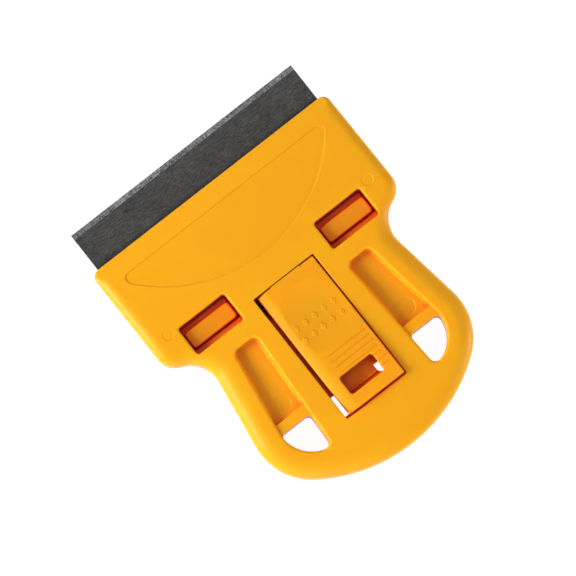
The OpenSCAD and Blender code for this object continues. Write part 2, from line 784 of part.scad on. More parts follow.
// Rib on the clamp plate, rising from the jaw to the hinge
module plate_rib(x) {
    low_z = plate_z + plate_t - weld;
    high_z = roof_clear_z + plate_t;
    translate([x - rib_t / 2, 0, 0])
        rotate([90, 0, 90])
            linear_extrude(rib_t)
                polygon([[-jaw_end_back, low_z], [-plate_rib_end_back, low_z],
                         [-plate_rib_end_back, high_z], [-stop_back, high_z]]);
}

// Plate with the jaw that presses on the blade; the lever's eccentric bears on its seat
module clamp_plate() {
    color([0.93, 0.56, 0.08])
        in_place() {
            difference() {
                union() {
                    both_sides()
                        key();
                    slab(-jaw_x, jaw_x, jaw_back, stop_back, plate_z, plate_z + plate_t);
                    slab(-plate_x, plate_x, stop_back - weld, plate_end_back,
                         plate_z, plate_z + plate_t);
                    slab(-cam_seat_w / 2, cam_seat_w / 2, slot_back - weld, cam_seat_end_back,
                         plate_z, tongue_top_z);
                }
                slab(-head_x, head_x, jaw_end_back, body_l, plate_z - over,
                     plate_z + plate_relief);
                both_sides()
                    prism(key_hollow, 0, plate_z - over, body_t - key_drop - plate_t);
            }
            both_sides()
                plate_rib(plate_rib_x);
        }
}

// Blade with its bevel ground on the front face
module blade() {
    color([0.3, 0.3, 0.31])
        in_place()
            translate([-blade_w / 2, 0, 0])
                rotate([90, 0, 90])
                    linear_extrude(blade_w)
                        polygon([[blade_reach - blade_depth, floor_t],
                                 [blade_reach, floor_t],
                                 [blade_reach, floor_t + edge_t],
                                 [blade_reach - bevel_w, blade_top_z],
                                 [blade_reach - blade_depth, blade_top_z]]);
}

// Lever, drawn about its hinge axis, with the arm raised towards its free end
lever_l = slot_end_back - tail_gap - axis_back;
lever_w = slot_w - lever_gap_left - lever_gap_right;
lever_mid_x = (lever_gap_left - lever_gap_right) / 2;
lever_rise = asin(tail_rise / lever_l);
cam_c = [-cam_throw * sin(cam_lean), -cam_throw * cos(cam_lean)];
cam_end_angle = -150;
barrel_steps = 12;
function raised(p) = [p.x * cos(lever_rise) + p.y * sin(lever_rise),
                      p.y * cos(lever_rise) - p.x * sin(lever_rise)];
function circle_points(c, r, from, to, steps) =
    [for (i = [0:steps]) c + r * [cos(from + (to - from) * i / steps),
                                  sin(from + (to - from) * i / steps)]];
// Side view of the lever: barrel head, eccentric below it, and the arm with a round end.
// A station is [y, z, inward y, inward z], inward along the top only, where the long
// edges are rounded.
function lever_stations() =
    let (under = barrel_r - arm_t)
    concat(
        [for (i = [0:barrel_steps])
            let (a = (90 + lever_rise) * (1 - i / barrel_steps), fade = min(1, a / 45))
            [barrel_r * cos(a), barrel_r * sin(a), -fade * cos(a), -fade * sin(a)]],
        [for (p = circle_points(cam_c, cam_r, 0, cam_end_angle, 2 * barrel_steps))
            concat(p, [0, 0])],
        [concat(raised([-2 * barrel_r, under]), [0, 0])],
        [for (p = circle_points([-lever_l + rim_r, under + rim_r], rim_r, 270, 180, rim_steps))
            concat(raised(p), [0, 0])],
        [for (i = [0:rim_steps])
            let (a = 180 - 90 * i / rim_steps, n = [cos(a), sin(a)])
            concat(raised([-lever_l + rim_r, barrel_r - rim_r] + rim_r * n), raised(-n))]);

// The lever's solid form; each end has rings whose top sinks as they near the flank
module lever_bar() {
    stations = lever_stations();
    n = len(stations);
    end_rings = [for (i = [0:edge_steps])
        let (a = 90 * i / edge_steps)
        [lever_w / 2 - lever_edge_w * (1 - cos(a)), lever_edge * (1 - sin(a))]];
    rings = concat(
        [for (r = end_rings) [-r.x, r.y]],
        [for (i = [edge_steps:-1:0]) end_rings[i]]);
    last = len(rings) - 1;
    points = [for (r = rings, s = stations) [r.x, s.x + s[2] * r.y, s.y + s[3] * r.y]];
    sides = [for (k = [0:last - 1], i = [0:n - 1])
        let (j = (i + 1) % n)
        [k * n + i, k * n + j, (k + 1) * n + j, (k + 1) * n + i]];
    left = [for (i = [n - 1:-1:0]) i];
    right = [for (i = [0:n - 1]) last * n + i];
    polyhedron(points, concat(sides, [left], [right]), convexity = 4);
}

// Shallow ball-shaped dish for the thumb
module dish() {
    ball_r = (dish_r * dish_r + dish_depth * dish_depth) / (2 * dish_depth);
    span = asin(dish_r / ball_r);
    translate([0, -dish_from_axis, barrel_r])
        rotate_extrude($fn = fine)
            polygon(concat(
                [for (i = [0:arc_steps])
                    let (a = span * i / arc_steps)
                    [ball_r * sin(a), ball_r - dish_depth - ball_r * cos(a)]],
                [[dish_r, over], [0, over]]));
}

module clamp_lever() {
    skirt_x = lever_w / 2 - rib_t;
    window_tail = lever_l - lever_window_from_tail;
    color([1, 0.74, 0.18])
        in_place()
            translate([lever_mid_x, -axis_back, axis_z]) {
                difference() {
                    lever_bar();
                    rotate([0, 90, 0])
                        cylinder(r = pin_r + pin_run_gap, h = lever_w + 2 * over,
                                 center = true, $fn = fine);
                    translate([-notch_w / 2, barrel_r - notch_depth, -barrel_r])
                        cube([notch_w, over, 2 * barrel_r]);
                    rotate([-lever_rise, 0, 0]) {
                        dish();
                        for (i = [0:groove_count - 1])
                            translate([0, -groove_from_axis - i * groove_pitch,
                                       barrel_r + groove_r - groove_depth])
                                rotate([0, 90, 0])
                                    cylinder(r = groove_r, h = lever_w - 2 * lever_edge_w,
                                             center = true, $fn = fine);
                        cut_from_front(
                            box_outline(-lever_window_w / 2, lever_window_w / 2,
                                        window_tail - lever_window_l, window_tail, window_r),
                            -over, barrel_r, rim_r);
                        slab(-skirt_x, skirt_x, 2 * barrel_r + rib_t,
                             window_tail - lever_window_l - rib_t, -over, barrel_r - skin_t);
                    }
                }
                rotate([-lever_rise, 0, 0])
                    slab(-pawl_w / 2, pawl_w / 2, pawl_from_axis, pawl_from_axis + rib_t,
                         -pawl_drop, barrel_r - arm_t + weld);
            }
}

module hinge_pin() {
    tip = pin_r / 4;
    color([0.78, 0.78, 0.8])
        in_place()
            translate([-pin_l / 2, -axis_back, axis_z])
                rotate([0, 90, 0]) {
                    cylinder(r1 = pin_r - tip, r2 = pin_r, h = tip, $fn = fine);
                    translate([0, 0, tip])
                        cylinder(r = pin_r, h = pin_l - 2 * tip, $fn = fine);
                    translate([0, 0, pin_l - tip])
                        cylinder(r1 = pin_r, r2 = pin_r - tip, h = tip, $fn = fine);
                }
}

// Screw with a cross recess, head towards the back
module screw(shank_r, head_t, shank_l) {
    head_r = shank_r * screw_head_share;
    difference() {
        union() {
            translate([0, 0, screw_head_sink])
                cylinder(r = head_r, h = head_t, $fn = fine);
            translate([0, 0, screw_head_sink + head_t - weld])
                cylinder(r = shank_r, h = shank_l + weld, $fn = fine);
        }
        for (a = [0, 90])
            rotate(a)
                translate([0, 0, screw_head_sink])
                    cube([head_r * recess_share, shank_r / 2, head_t], center = true);
    }
}

module head_screws() {
    color([0.78, 0.78, 0.8])
        in_place()
            both_sides()
                translate([head_screw_x, -head_screw_back, 0])
                    screw(head_screw_r, head_screw_head_t, head_screw_l);
}

module handle_screws() {
    color([0.78, 0.78, 0.8])
        in_place()
            both_sides()
                translate([handle_screw_x, -handle_screw_back, 0])
                    screw(handle_screw_r, handle_screw_head_t, handle_screw_l);
}

front_shell();
rear_shell();
clamp_plate();
blade();
clamp_lever();
hinge_pin();
head_screws();
handle_screws();
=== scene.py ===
import math

import bmesh
import bpy
from mathutils import Matrix, Vector


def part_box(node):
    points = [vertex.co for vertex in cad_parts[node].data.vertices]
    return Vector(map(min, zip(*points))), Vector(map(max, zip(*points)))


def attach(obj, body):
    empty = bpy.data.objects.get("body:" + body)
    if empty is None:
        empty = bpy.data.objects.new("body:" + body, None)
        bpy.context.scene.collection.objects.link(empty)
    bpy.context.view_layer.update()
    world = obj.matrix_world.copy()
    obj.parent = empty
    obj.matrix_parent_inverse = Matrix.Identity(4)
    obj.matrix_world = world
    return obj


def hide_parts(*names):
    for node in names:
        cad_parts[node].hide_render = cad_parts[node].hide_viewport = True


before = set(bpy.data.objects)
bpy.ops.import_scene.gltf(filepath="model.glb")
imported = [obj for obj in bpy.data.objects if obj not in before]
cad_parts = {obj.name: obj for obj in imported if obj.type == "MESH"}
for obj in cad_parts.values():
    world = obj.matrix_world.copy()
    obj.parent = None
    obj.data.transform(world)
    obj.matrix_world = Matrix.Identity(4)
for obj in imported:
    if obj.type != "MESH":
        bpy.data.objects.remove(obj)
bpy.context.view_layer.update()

# Lengths are in millimetres until a mesh is made. x runs along the cutting edge, y towards
# it with zero at the mouth, and z up from the back face. Names that end in _back are
# distances behind the mouth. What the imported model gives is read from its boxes.
MM = 0.001


def box_mm(node):
    low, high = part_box(node)
    return low / MM, high / MM


front_low, front_high = box_mm("front_shell")
blade_low, blade_high = box_mm("blade")
lever_low, lever_high = box_mm("clamp_lever")
plate_low, plate_high = box_mm("clamp_plate")
pin_low, pin_high = box_mm("hinge_pin")

MOUTH_Y = front_high.y
BODY_L = front_high.y - front_low.y
BODY_T = front_high.z
SPLIT_Z = front_low.z
HEAD_X = front_high.x
BLADE_W = blade_high.x - blade_low.x
BLADE_REACH = blade_high.y - MOUTH_Y
BLADE_DEPTH = blade_high.y - blade_low.y
FLOOR_T = blade_low.z
BLADE_T = blade_high.z - blade_low.z
PIN_R = (pin_high.z - pin_low.z) / 2
AXIS_BACK = MOUTH_Y - (pin_low.y + pin_high.y) / 2
AXIS_Z = (pin_low.z + pin_high.z) / 2
LEVER_MID_X = (lever_low.x + lever_high.x) / 2
LEVER_W = lever_high.x - lever_low.x
KEY_Z = plate_high.z

# Outline of the shells
HANDLE_HALF_W = 45.1
HANDLE_END_L = 30
HANDLE_SIDE_R = 22.83
WAIST_X = 40.7
WAIST_BACK = 56.7
CORNER_R = 3
SHOULDER_R = 7.4
WAIST_R = 11.8
WALL = 2
INNER_WALL = 1.7
RIB_T = 1.2
LIP_EDGE = 0.8
HEAD_EDGE = 2.6
HEAD_EDGE_W = 4.2
GRIP_EDGE = 4.2
GRIP_EDGE_W = 6.8
BACK_EDGE = 2.4
LEAST_EDGE = 0.3
PARTING = 0.18

# Slope of the head and its panel
MOUTH_Z = 5
KNEE_BACK = 7.2
KNEE_Z = 8.4
KNEE_SOFT = 0.6
BROW_BACK = 32.8
BROW_SOFT = 0.3
PANEL_DEPTH = 0.3
PANEL_BACK = 7.5
PANEL_LOW_BACK = 32.5
PANEL_ARC_R = 57.6
PANEL_CORNER_R = 2.5

# Key windows
WINDOW_IN_X = 20.3
WINDOW_OUT_X = 41.2
WINDOW_BACK = 34.8
WINDOW_END_BACK = 46.7
WINDOW_R = 1.2
WINDOW_RIM_R = 0.9
RIM_R = 0.5
KEY_FRONT_GAP = 2.7
KEY_SIDE_GAP = 0.7
KEY_BACK_GAP = 0.5
KEY_EDGE = 0.7
KEY_STEP_DROP = 5.7
KEY_STEP_GAP = 0.9
LEDGE_W = 2.1
LEDGE_DROP = 5.2

# Lever slot
SLOT_W = 27.1
SLOT_BACK = 43.3
SLOT_END_BACK = 97.6
SLOT_R = 0.8
SLOT_RIM_R = 0.3
SHELF_W = 1.2
END_SHELF_Z = 9.8
SIDE_SHELF_Z = 8.4
WELL_BACK = 52.5
FINGER_BACK = 87.5
SLOT_FLOOR_Z = 7
SLOT_FLOOR_T = 1.6
TONGUE_NECK_W = 12.4
TONGUE_NECK_LEFT = 7.4
TONGUE_END_W = 16.5
TONGUE_L = 5.3
RIDGE_H = 0.7
CHEEK_W = 4.6

# Teardrop openings
HANDLE_RIM = 9.4
TEAR_BACK = 53.7
TEAR_IN_X = 20.8
TEAR_LEAN = 3.05
TEAR_TIP_R = 2.5
TEAR_CORNER_R = 2.3
TEAR_RIM_R = 1.1
POCKET_END_BACK = 83.9
POCKET_FLOOR_Z = BODY_T - 3.4
POCKET_SOFT = 1
POCKET_LEAST_R = 0.1
HOLE_BACK = 87.6
HOLE_R = 1.9
BAR_Z = BODY_T - 1.2

# Blade's bevel, broken edges and room in the shells
BEVEL_W = 2
CUT_EDGE_T = 0.08
BROKEN_EDGE = 0.06
STOP_BACK = BLADE_DEPTH + 0.4
CHANNEL_X = BLADE_W / 2 + 0.3

# Clamp plate, under the shells' roof
ROOF_CLEAR_Z = 5.77
PLATE_Z = plate_low.z
PLATE_T = 1.5
PLATE_RELIEF = 0.4
PLATE_GAP = 0.5
PLATE_END_BACK = 44.7
PLATE_RIB_END_BACK = 40
JAW_BACK = 5
JAW_END_BACK = 13
CAM_SEAT_W = 24
CAM_SEAT_Z = 4.67

# Lever, about its hinge
BARREL_R = BODY_T - AXIS_Z
ARM_T = 3.4
TAIL_RISE = 2
LEVER_L = 50.55
CAM_R = 3.45
CAM_THROW = 0.9
CAM_LEAN = 30
CAM_SWEEP = 150
LEVER_SLOPE_EDGE = [(0, 1.45), (0.12, 1.3), (0.4, 1.12), (1, 0.88), (2, 0.5), (2.8, 0.24),
                    (3.5, 0.09), (4.4, 0)]
LEVER_SHARP_EDGE = [(0, 0.45), (0.06, 0.24), (0.2, 0.08), (0.45, 0)]
SKIN_T = 1.4
NOSE_W = 13.1
NOSE_T = 1.3
NOSE_GAP = 0.15
NOSE_SOFT = 1.15
NOSE_CRISP = 0.12
DISH_R = 13.8
DISH_DEPTH = 0.75
DISH_BALL_R = (DISH_R ** 2 + DISH_DEPTH ** 2) / (2 * DISH_DEPTH)
DISH_FROM_AXIS = 15.25
PAD_W = 2.3
PAD_L = 3.2
PAD_H = 0.22
PAD_CORNERS = (0.3, 0.2, 0.3, 0.2)
PAD_PITCH = 4.2
PAD_ROWS = (0.6, -4.6)
GROOVE_FROM_AXIS = 29.85
GROOVE_PITCH = 2.38
GROOVE_COUNT = 7
GROOVE_R = 0.7
GROOVE_DEPTH = 0.3
GROOVE_X0 = -8.8
GROOVE_FULL_X = -5
GROOVE_X1 = 11
LEVER_WINDOW_W = 14.8
LEVER_WINDOW_L = 7.8
LEVER_WINDOW_FROM_TAIL = 4.9
PAWL_W = 12
PAWL_DROP = 4.4
PAWL_FROM_AXIS = 46.65

# Screws and bosses
def screw_place(node):
    """The right screw of a pair: x, distance behind the mouth, and height of its tip."""
    low, high = box_mm(node)
    return high.x - (high.y - low.y) / 2, MOUTH_Y - (low.y + high.y) / 2, high.z


HEAD_SCREW_X, HEAD_SCREW_BACK, HEAD_SCREW_TOP = screw_place("head_screws")
HEAD_SCREW_R = 0.9
HEAD_SCREW_HEAD_T = 1
HEAD_BOSS_R = 2.3
HANDLE_SCREW_X, HANDLE_SCREW_BACK, HANDLE_SCREW_TOP = screw_place("handle_screws")
HANDLE_SCREW_R = 1.35
HANDLE_SCREW_HEAD_T = 1.2
HANDLE_BOSS_R = 3.4
HEAD_SCREW = (HEAD_SCREW_X, HEAD_SCREW_BACK, HEAD_SCREW_R, HEAD_SCREW_HEAD_T)
HANDLE_SCREW = (HANDLE_SCREW_X, HANDLE_SCREW_BACK, HANDLE_SCREW_R, HANDLE_SCREW_HEAD_T)
HEAD_BOSS = (HEAD_SCREW_X, HEAD_SCREW_BACK, HEAD_BOSS_R)
HANDLE_BOSS = (HANDLE_SCREW_X, HANDLE_SCREW_BACK, HANDLE_BOSS_R)
SCREW_HEAD_SHARE = 1.95
SCREW_GAP = 0.06
SCREW_SINK = 0.2
RECESS_ARM = 0.55
RECESS_DEPTHS = ((1 / 3, 0.85), (1 / 2, 0.35))
PIN_TIP = 0.35
PIN_GAP = 0.03
SINK_MARK_DEPTH = 0.18
SINK_MARK_EDGE = 0.24

# How far cutting solids overrun, and how far one form runs into the next
OVER = 1
WELD = 0.2
DRAFT_STEP = 0.05

# Fineness of curves: what shows, and what lies hidden
FINE = 14
COARSE = 5
EDGE_STEPS = 10
RIM_STEPS = 5
DISH_STEPS = 16


def cosd(a):
    return math.cos(math.radians(a))


def sind(a):
    return math.sin(math.radians(a))


def heading(x, y):
    """Direction of (x, y) in degrees."""
    return math.degrees(math.atan2(y, x))


# Outlines. A station is (x, y, outward x, outward y).

def arc(center, radius, start, end, steps, first=0, out=1):
    """Stations on an arc in degrees; first=1 skips its start, out=-1 faces in, 0 nowhere."""
    turns = [start + (end - start) * i / steps for i in range(first, steps + 1)]
    return [(center[0] + radius * cosd(a), center[1] + radius * sind(a),
             out * cosd(a), out * sind(a)) for a in turns]


def rounded(corners, radii, steps=FINE):
    """Outline with round corners from a convex polygon that turns left."""
    stations = []
    points = [Vector(c) for c in corners]
    for i, b in enumerate(points):
        to_last = (points[i - 1] - b).normalized()
        to_next = (points[(i + 1) % len(points)] - b).normalized()
        half = to_last.angle(to_next) / 2
        center = b + (to_last + to_next).normalized() * (radii[i] / math.sin(half))
        start = heading(-to_last.y, to_last.x)
        stations += arc(center, radii[i], start, start + 180 - 2 * math.degrees(half), steps)
    return stations


def box_outline(x0, x1, back0, back1, r, steps=FINE):
    return rounded([(x0, -back1), (x1, -back1), (x1, -back0), (x0, -back0)], [r] * 4, steps)


END_R = ((HANDLE_HALF_W - HANDLE_SIDE_R) ** 2 + HANDLE_END_L ** 2 - HANDLE_SIDE_R ** 2) / (
    2 * (HANDLE_END_L - HANDLE_SIDE_R))
END_C = Vector((0, END_R - BODY_L))
SIDE_C = Vector((HANDLE_HALF_W - HANDLE_SIDE_R, HANDLE_END_L - BODY_L))
END_ANGLE = heading(SIDE_C.x - END_C.x, SIDE_C.y - END_C.y)
WAIST_C = Vector((WAIST_X + WAIST_R, -WAIST_BACK))
_reach = WAIST_C - SIDE_C
FLARE = math.degrees(math.atan2(_reach.y, _reach.x)
                     - math.acos((HANDLE_SIDE_R + WAIST_R) / _reach.length))
_run = WAIST_C.x - (HEAD_X - SHOULDER_R)
_drop = math.sqrt((SHOULDER_R + WAIST_R) ** 2 - _run ** 2)
SHOULDER_C = Vector((HEAD_X - SHOULDER_R, WAIST_C.y + _drop))
SHOULDER_ANGLE = heading(_run, -_drop)


def half_outline(steps):
    """Right half of the shells' outline, from the end of the handle to the mouth."""
    side_steps = 3 * steps
    side = [(HEAD_X, SHOULDER_C.y + (-CORNER_R - SHOULDER_C.y) * i / side_steps, 1, 0)
            for i in range(1, side_steps + 1)]
    return (arc(END_C, END_R, -90, END_ANGLE, 2 * steps)
            + arc(SIDE_C, HANDLE_SIDE_R, END_ANGLE, FLARE, 2 * steps, 1)
            + arc(WAIST_C, WAIST_R, 180 + FLARE, 180 + SHOULDER_ANGLE, steps, 0, -1)
            + arc(SHOULDER_C, SHOULDER_R, SHOULDER_ANGLE, 0, steps, 1)
            + side
            + arc((HEAD_X - CORNER_R, -CORNER_R), CORNER_R, 0, 90, steps, 1))


def half_panel(steps):
    """Right half of the D-shaped panel, from its arc's lowest point to its straight side."""
    center = Vector((0, PANEL_ARC_R - PANEL_LOW_BACK))
    drop = center.y + PANEL_BACK + PANEL_CORNER_R
    corner = Vector((math.sqrt((PANEL_ARC_R - PANEL_CORNER_R) ** 2 - drop ** 2),
                     -PANEL_BACK - PANEL_CORNER_R))
    turn = heading(corner.x, -drop)
    return (arc(center, PANEL_ARC_R, -90, turn, 3 * steps)
            + arc(corner, PANEL_CORNER_R, turn, 90, steps, 1))


# Teardrop openings: the outer side keeps the same distance from the handle's edge
TEAR_R = HANDLE_SIDE_R - HANDLE_RIM
LEAN_N = Vector((cosd(TEAR_LEAN), sind(TEAR_LEAN)))
LEAN_D = Vector((sind(TEAR_LEAN), -cosd(TEAR_LEAN)))
FLARE_N = Vector((cosd(FLARE), sind(FLARE)))
TEAR_START = Vector((TEAR_IN_X, -TEAR_BACK))
_from = TEAR_START + LEAN_N * TEAR_TIP_R
_to = SIDE_C - _from
TIP_C = _from + LEAN_D * (_to.dot(LEAN_D) + math.sqrt(
    (TEAR_R - TEAR_TIP_R) ** 2 - _to.dot(LEAN_N) ** 2))
TIP_ANGLE = heading(TIP_C.x - SIDE_C.x, TIP_C.y - SIDE_C.y)


def inner_x(back, inset=0):
    return (LEAN_N.dot(TEAR_START) + inset + LEAN_N.y * back) / LEAN_N.x


def outer_x(back, inset=0):
    return (FLARE_N.dot(SIDE_C) + TEAR_R - inset + FLARE_N.y * back) / FLARE_N.x


def teardrop(top_back, r, steps=FINE):
    """Teardrop on the right, cut off straight at top_back."""
    turn = math.degrees(math.asin(min(1, (-top_back - r - SIDE_C.y) / (TEAR_R - r))))
    on_arc = turn < FLARE
    end = turn if on_arc else FLARE
    corner_x = SIDE_C.x + (TEAR_R - r) * cosd(turn) if on_arc else outer_x(top_back + r, r)
    return (arc(TIP_C, TEAR_TIP_R, 180 + TEAR_LEAN, 360 + TIP_ANGLE, steps)
            + arc(SIDE_C, TEAR_R, TIP_ANGLE, end, 2 * steps, 1)
            + arc((corner_x, -top_back - r), r, end, 90, steps, 1 if on_arc else 0)
            + arc((inner_x(top_back + r, r), -top_back - r), r, 90, 180 + TEAR_LEAN, steps))


def pocket_ring(inset, z):
    """Ring round the pocket at a height, drawn in by inset."""
    far, near = POCKET_END_BACK - inset, TEAR_BACK + inset
    crisp, soft = (max(r - inset, POCKET_LEAST_R) for r in (RIM_R, TEAR_CORNER_R))
    outline = rounded([(inner_x(far, inset), -far), (outer_x(far, inset), -far),
                       (outer_x(near, inset), -near), (inner_x(near, inset), -near)],
                      [crisp, crisp, soft, soft])
    return ring_at(outline, 0, z)


SLOT_X0 = -SLOT_W / 2
SLOT_X1 = SLOT_W / 2


def slot_part(back0, back1, inset):
    return box_outline(SLOT_X0 + inset, SLOT_X1 - inset, back0, back1, SLOT_R)


def finger_outline():
    return slot_part(FINGER_BACK, SLOT_END_BACK - DRAFT_STEP, DRAFT_STEP)


def window_outline(steps=FINE):
    return box_outline(WINDOW_IN_X, WINDOW_OUT_X, WINDOW_BACK, WINDOW_END_BACK, WINDOW_R, steps)


# Heights and edge radii along the shells

def soft_min(p, q, k):
    return min(p, q) - max(k - abs(p - q), 0) ** 2 / (4 * k)


def face_z(back):
    lip = MOUTH_Z + (KNEE_Z - MOUTH_Z) * back / KNEE_BACK
    slope = KNEE_Z + (BODY_T - KNEE_Z) * (back - KNEE_BACK) / (BROW_BACK - KNEE_BACK)
    return soft_min(soft_min(lip, slope, KNEE_SOFT), BODY_T, BROW_SOFT)


def ramp(t):
    s = min(max(t, 0), 1)
    return s * s * (3 - 2 * s)


def edge_size(back, head, grip):
    return (LIP_EDGE + (head - LIP_EDGE) * ramp(back / KNEE_BACK)
            + (grip - head) * ramp((back + SHOULDER_C.y) / (WAIST_BACK + SHOULDER_C.y)))


# Solids, each a pair of point list and face list

def ring_at(outline, d, z):
    """Ring of points along an outline that is moved outwards by d, at the height z."""
    return [(x + nx * d, y + ny * d, z) for x, y, nx, ny in outline]


def through_rings(rings):
    """Closed solid through rings of points, each ring with the same count."""
    n = len(rings[0])
    last = (len(rings) - 1) * n
    faces = [(k + i, k + (i + 1) % n, k + n + (i + 1) % n, k + n + i)
             for k in range(0, last, n) for i in range(n)]
    faces += [tuple(reversed(range(n))), tuple(range(last, last + n))]
    return [p for ring in rings for p in ring], faces


def mirrored_rings(half_rings):
    """Closed solid through half rings, from the handle's end to the mouth, made whole."""
    m = len(half_rings[0])
    rings = [ring + [(-x, y, z) for x, y, z in reversed(ring[1:])] for ring in half_rings]
    points, faces = through_rings(rings)
    n = 2 * m - 1
    last = (len(rings) - 1) * n
    faces = faces[:-2] + [(0, n - 1, 1), (last, last + 1, last + n - 1)]
    for k in range(1, m - 1):
        faces.append((k, n - k, n - k - 1, k + 1))
        faces.append((last + k, last + k + 1, last + n - k - 1, last + n - k))
    return points, faces


def levels(outline, steps):
    """Solid through copies of an outline; a step is (distance outwards, height)."""
    return through_rings([ring_at(outline, d, z) for d, z in steps])


def prism(outline, grow, z0, z1):
    return levels(outline, [(grow, z0), (grow, z1)])


def quarter(r, steps=RIM_STEPS):
    """Points on a quarter circle, as (run, rise) from (0, 0) to (r, r)."""
    return [(r * (1 - cosd(90 * i / steps)), r * sind(90 * i / steps)) for i in range(steps + 1)]


def front_cut(outline, z0, z1, rim):
    """Cutting solid whose mouth flares out at z1 in a rounded rim."""
    rim_steps = [(run, z1 - rim + rise) for run, rise in quarter(rim)]
    return levels(outline, [(0, z0)] + rim_steps + [(rim, z1 + OVER)])


def back_cut(outline, z1, rim):
    """Cutting solid whose mouth flares out at the back face."""
    rim_steps = [(run, rim - rise) for run, rise in reversed(quarter(rim))]
    return levels(outline, [(rim, -OVER)] + rim_steps + [(0, z1)])


def upright(ring, z0, z1):
    """Upright prism from a ring of (x, y) points."""
    return through_rings([[(x, y, z) for x, y in ring] for z in (z0, z1)])


def block(x0, x1, back0, back1, z0, z1):
    return upright([(x0, -back1), (x1, -back1), (x1, -back0), (x0, -back0)], z0, z1)


def along_x(profile, x0, x1):
    """Prism along x from a profile of (y, z) points."""
    return through_rings([[(x, y, z) for y, z in profile] for x in (x0, x1)])


def circle(y, z, r, turns=range(0, 360, 10)):
    """Points (y, z) on a circle in side view."""
    return [(y + r * cosd(a), z + r * sind(a)) for a in turns]


def disc(x, back, r, steps=4 * FINE):
    return arc((x, -back), r, 0, 360, steps)[:-1]


def flipped(solid):
    points, faces = solid
    return [(-x, y, z) for x, y, z in points], [tuple(reversed(f)) for f in faces]


def both(*solids):
    """Each solid, with its mirror image on the other side."""
    return [side for solid in solids for side in (solid, flipped(solid))]


def moved(solid, matrix):
    return [tuple(matrix @ Vector(p)) for p in solid[0]], solid[1]


# Meshes

def put(name, data):
    """New object with the data, linked to the scene."""
    thing = bpy.data.objects.new(name, data)
    bpy.context.scene.collection.objects.link(thing)
    return thing


def raw_object(name, solid):
    mesh = bpy.data.meshes.new(name)
    mesh.from_pydata(solid[0], [], solid[1])
    bm = bmesh.new()
    bm.from_mesh(mesh)
    bmesh.ops.recalc_face_normals(bm, faces=bm.faces)
    bm.to_mesh(mesh)
    bm.free()
    return put(name, mesh)


def carve(name, base, changes):
    """Joins solids to a base solid or cuts them from it, one after another."""
    piece = raw_object(name, base)
    tools = []
    for way, solid in changes:
        tool = raw_object(name + "_tool", solid)
        change = piece.modifiers.new(way, "BOOLEAN")
        change.operation = way
        change.solver = "MANIFOLD"
        change.object = tool
        tools.append(tool)
    bpy.context.view_layer.update()
    shown = piece.evaluated_get(bpy.context.evaluated_depsgraph_get())
    mesh = bpy.data.meshes.new_from_object(shown)
    piece.modifiers.clear()
    old = piece.data
    piece.data = mesh
    mesh.name = name
    bpy.data.meshes.remove(old)
    for tool in tools:
        spent = tool.data
        bpy.data.objects.remove(tool)
        bpy.data.meshes.remove(spent)
    return piece


def cut(*solids):
    return [("DIFFERENCE", s) for s in solids]


def add(*solids):
    return [("UNION", s) for s in solids]


def soft_normals(mesh, sharp=32, level=0.2):
    """Shades smoothly up to the sharp angle; faces level with each other count as one face."""
    bm = bmesh.new()
    bm.from_mesh(mesh)
    group = list(range(len(bm.faces)))

    def root(i):
        while group[i] != i:
            group[i] = group[group[i]]
            i = group[i]
        return i

    limit = cosd(sharp)
    flat = cosd(level)
    soft_edges = set()
    for e in bm.edges:
        if len(e.link_faces) == 2:
            a, b = e.link_faces
            likeness = a.normal.dot(b.normal)
            if likeness > flat:
                group[root(a.index)] = root(b.index)
            if likeness > limit:
                soft_edges.add(e.index)
    areas = [0.0] * len(bm.faces)
    for f in bm.faces:
        areas[root(f.index)] += f.calc_area()
    weights = [areas[root(i)] for i in range(len(bm.faces))]
    normals = [None] * sum(len(f.verts) for f in bm.faces)
    loop_at = {}
    count = 0
    for f in bm.faces:
        for corner in f.loops:
            loop_at[(f.index, corner.vert.index)] = count
            count += 1
    for v in bm.verts:
        left = set(v.link_faces)
        while left:
            fan = [left.pop()]
            for f in fan:
                for e in f.edges:
                    if e.index in soft_edges and v in e.verts:
                        fan += [other for other in e.link_faces if other in left]
                        left -= set(e.link_faces)
            total = sum((f.normal * weights[f.index] for f in fan), Vector()).normalized()
            for f in fan:
                normals[loop_at[(f.index, v.index)]] = total
    bm.free()
    mesh.shade_smooth()
    mesh.normals_split_custom_set(normals)


def seat(piece, body, node, slot, *materials):
    """Turns a carved piece into metres of the frame and hands it to its body."""
    mesh = piece.data
    mesh.transform(Matrix.Scale(MM, 4) @ Matrix.Translation((0, MOUTH_Y, 0)))
    soft_normals(mesh)
    mesh.materials.clear()
    for material in materials:
        mesh.materials.append(material)
    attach(piece, body)
    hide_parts(node)


# Shells

def front_form(inset, z0, least, steps, edge_steps, foot=0):
    """Solid that fills the front shell's outer form, drawn in by inset, its foot bevelled."""
    outline = half_outline(steps)
    rings = [ring_at(outline, -inset - run, z0 + rise)
             for run, rise in ([(foot, 0), (0, foot)] if foot else [(0, 0)])]
    for run, rise in quarter(1, edge_steps):
        ring = []
        for x, y, nx, ny in outline:
            h = max(edge_size(-y, HEAD_EDGE, GRIP_EDGE) - inset, least)
            w = max(edge_size(-y, HEAD_EDGE_W, GRIP_EDGE_W) - inset, least)
            d = inset + w * run
            ring.append((x - nx * d, y - ny * d, face_z(ny * d - y) - inset - h * (1 - rise)))
        rings.append(ring)
    return mirrored_rings(rings)


def rear_form():
    """Solid that fills the rear shell's outer form, with a fine bevel at the parting line."""
    outline = half_outline(FINE)
    edges = [(*s, LIP_EDGE + (BACK_EDGE - LIP_EDGE) * ramp(-s[1] / KNEE_BACK)) for s in outline]
    rings = [[(x - nx * r * run, y - ny * r * run, r * (1 - rise)) for x, y, nx, ny, r in edges]
             for run, rise in reversed(quarter(1, EDGE_STEPS))]
    rings += [ring_at(outline, 0, SPLIT_Z - PARTING), ring_at(outline, -PARTING, SPLIT_Z)]
    return mirrored_rings(rings)


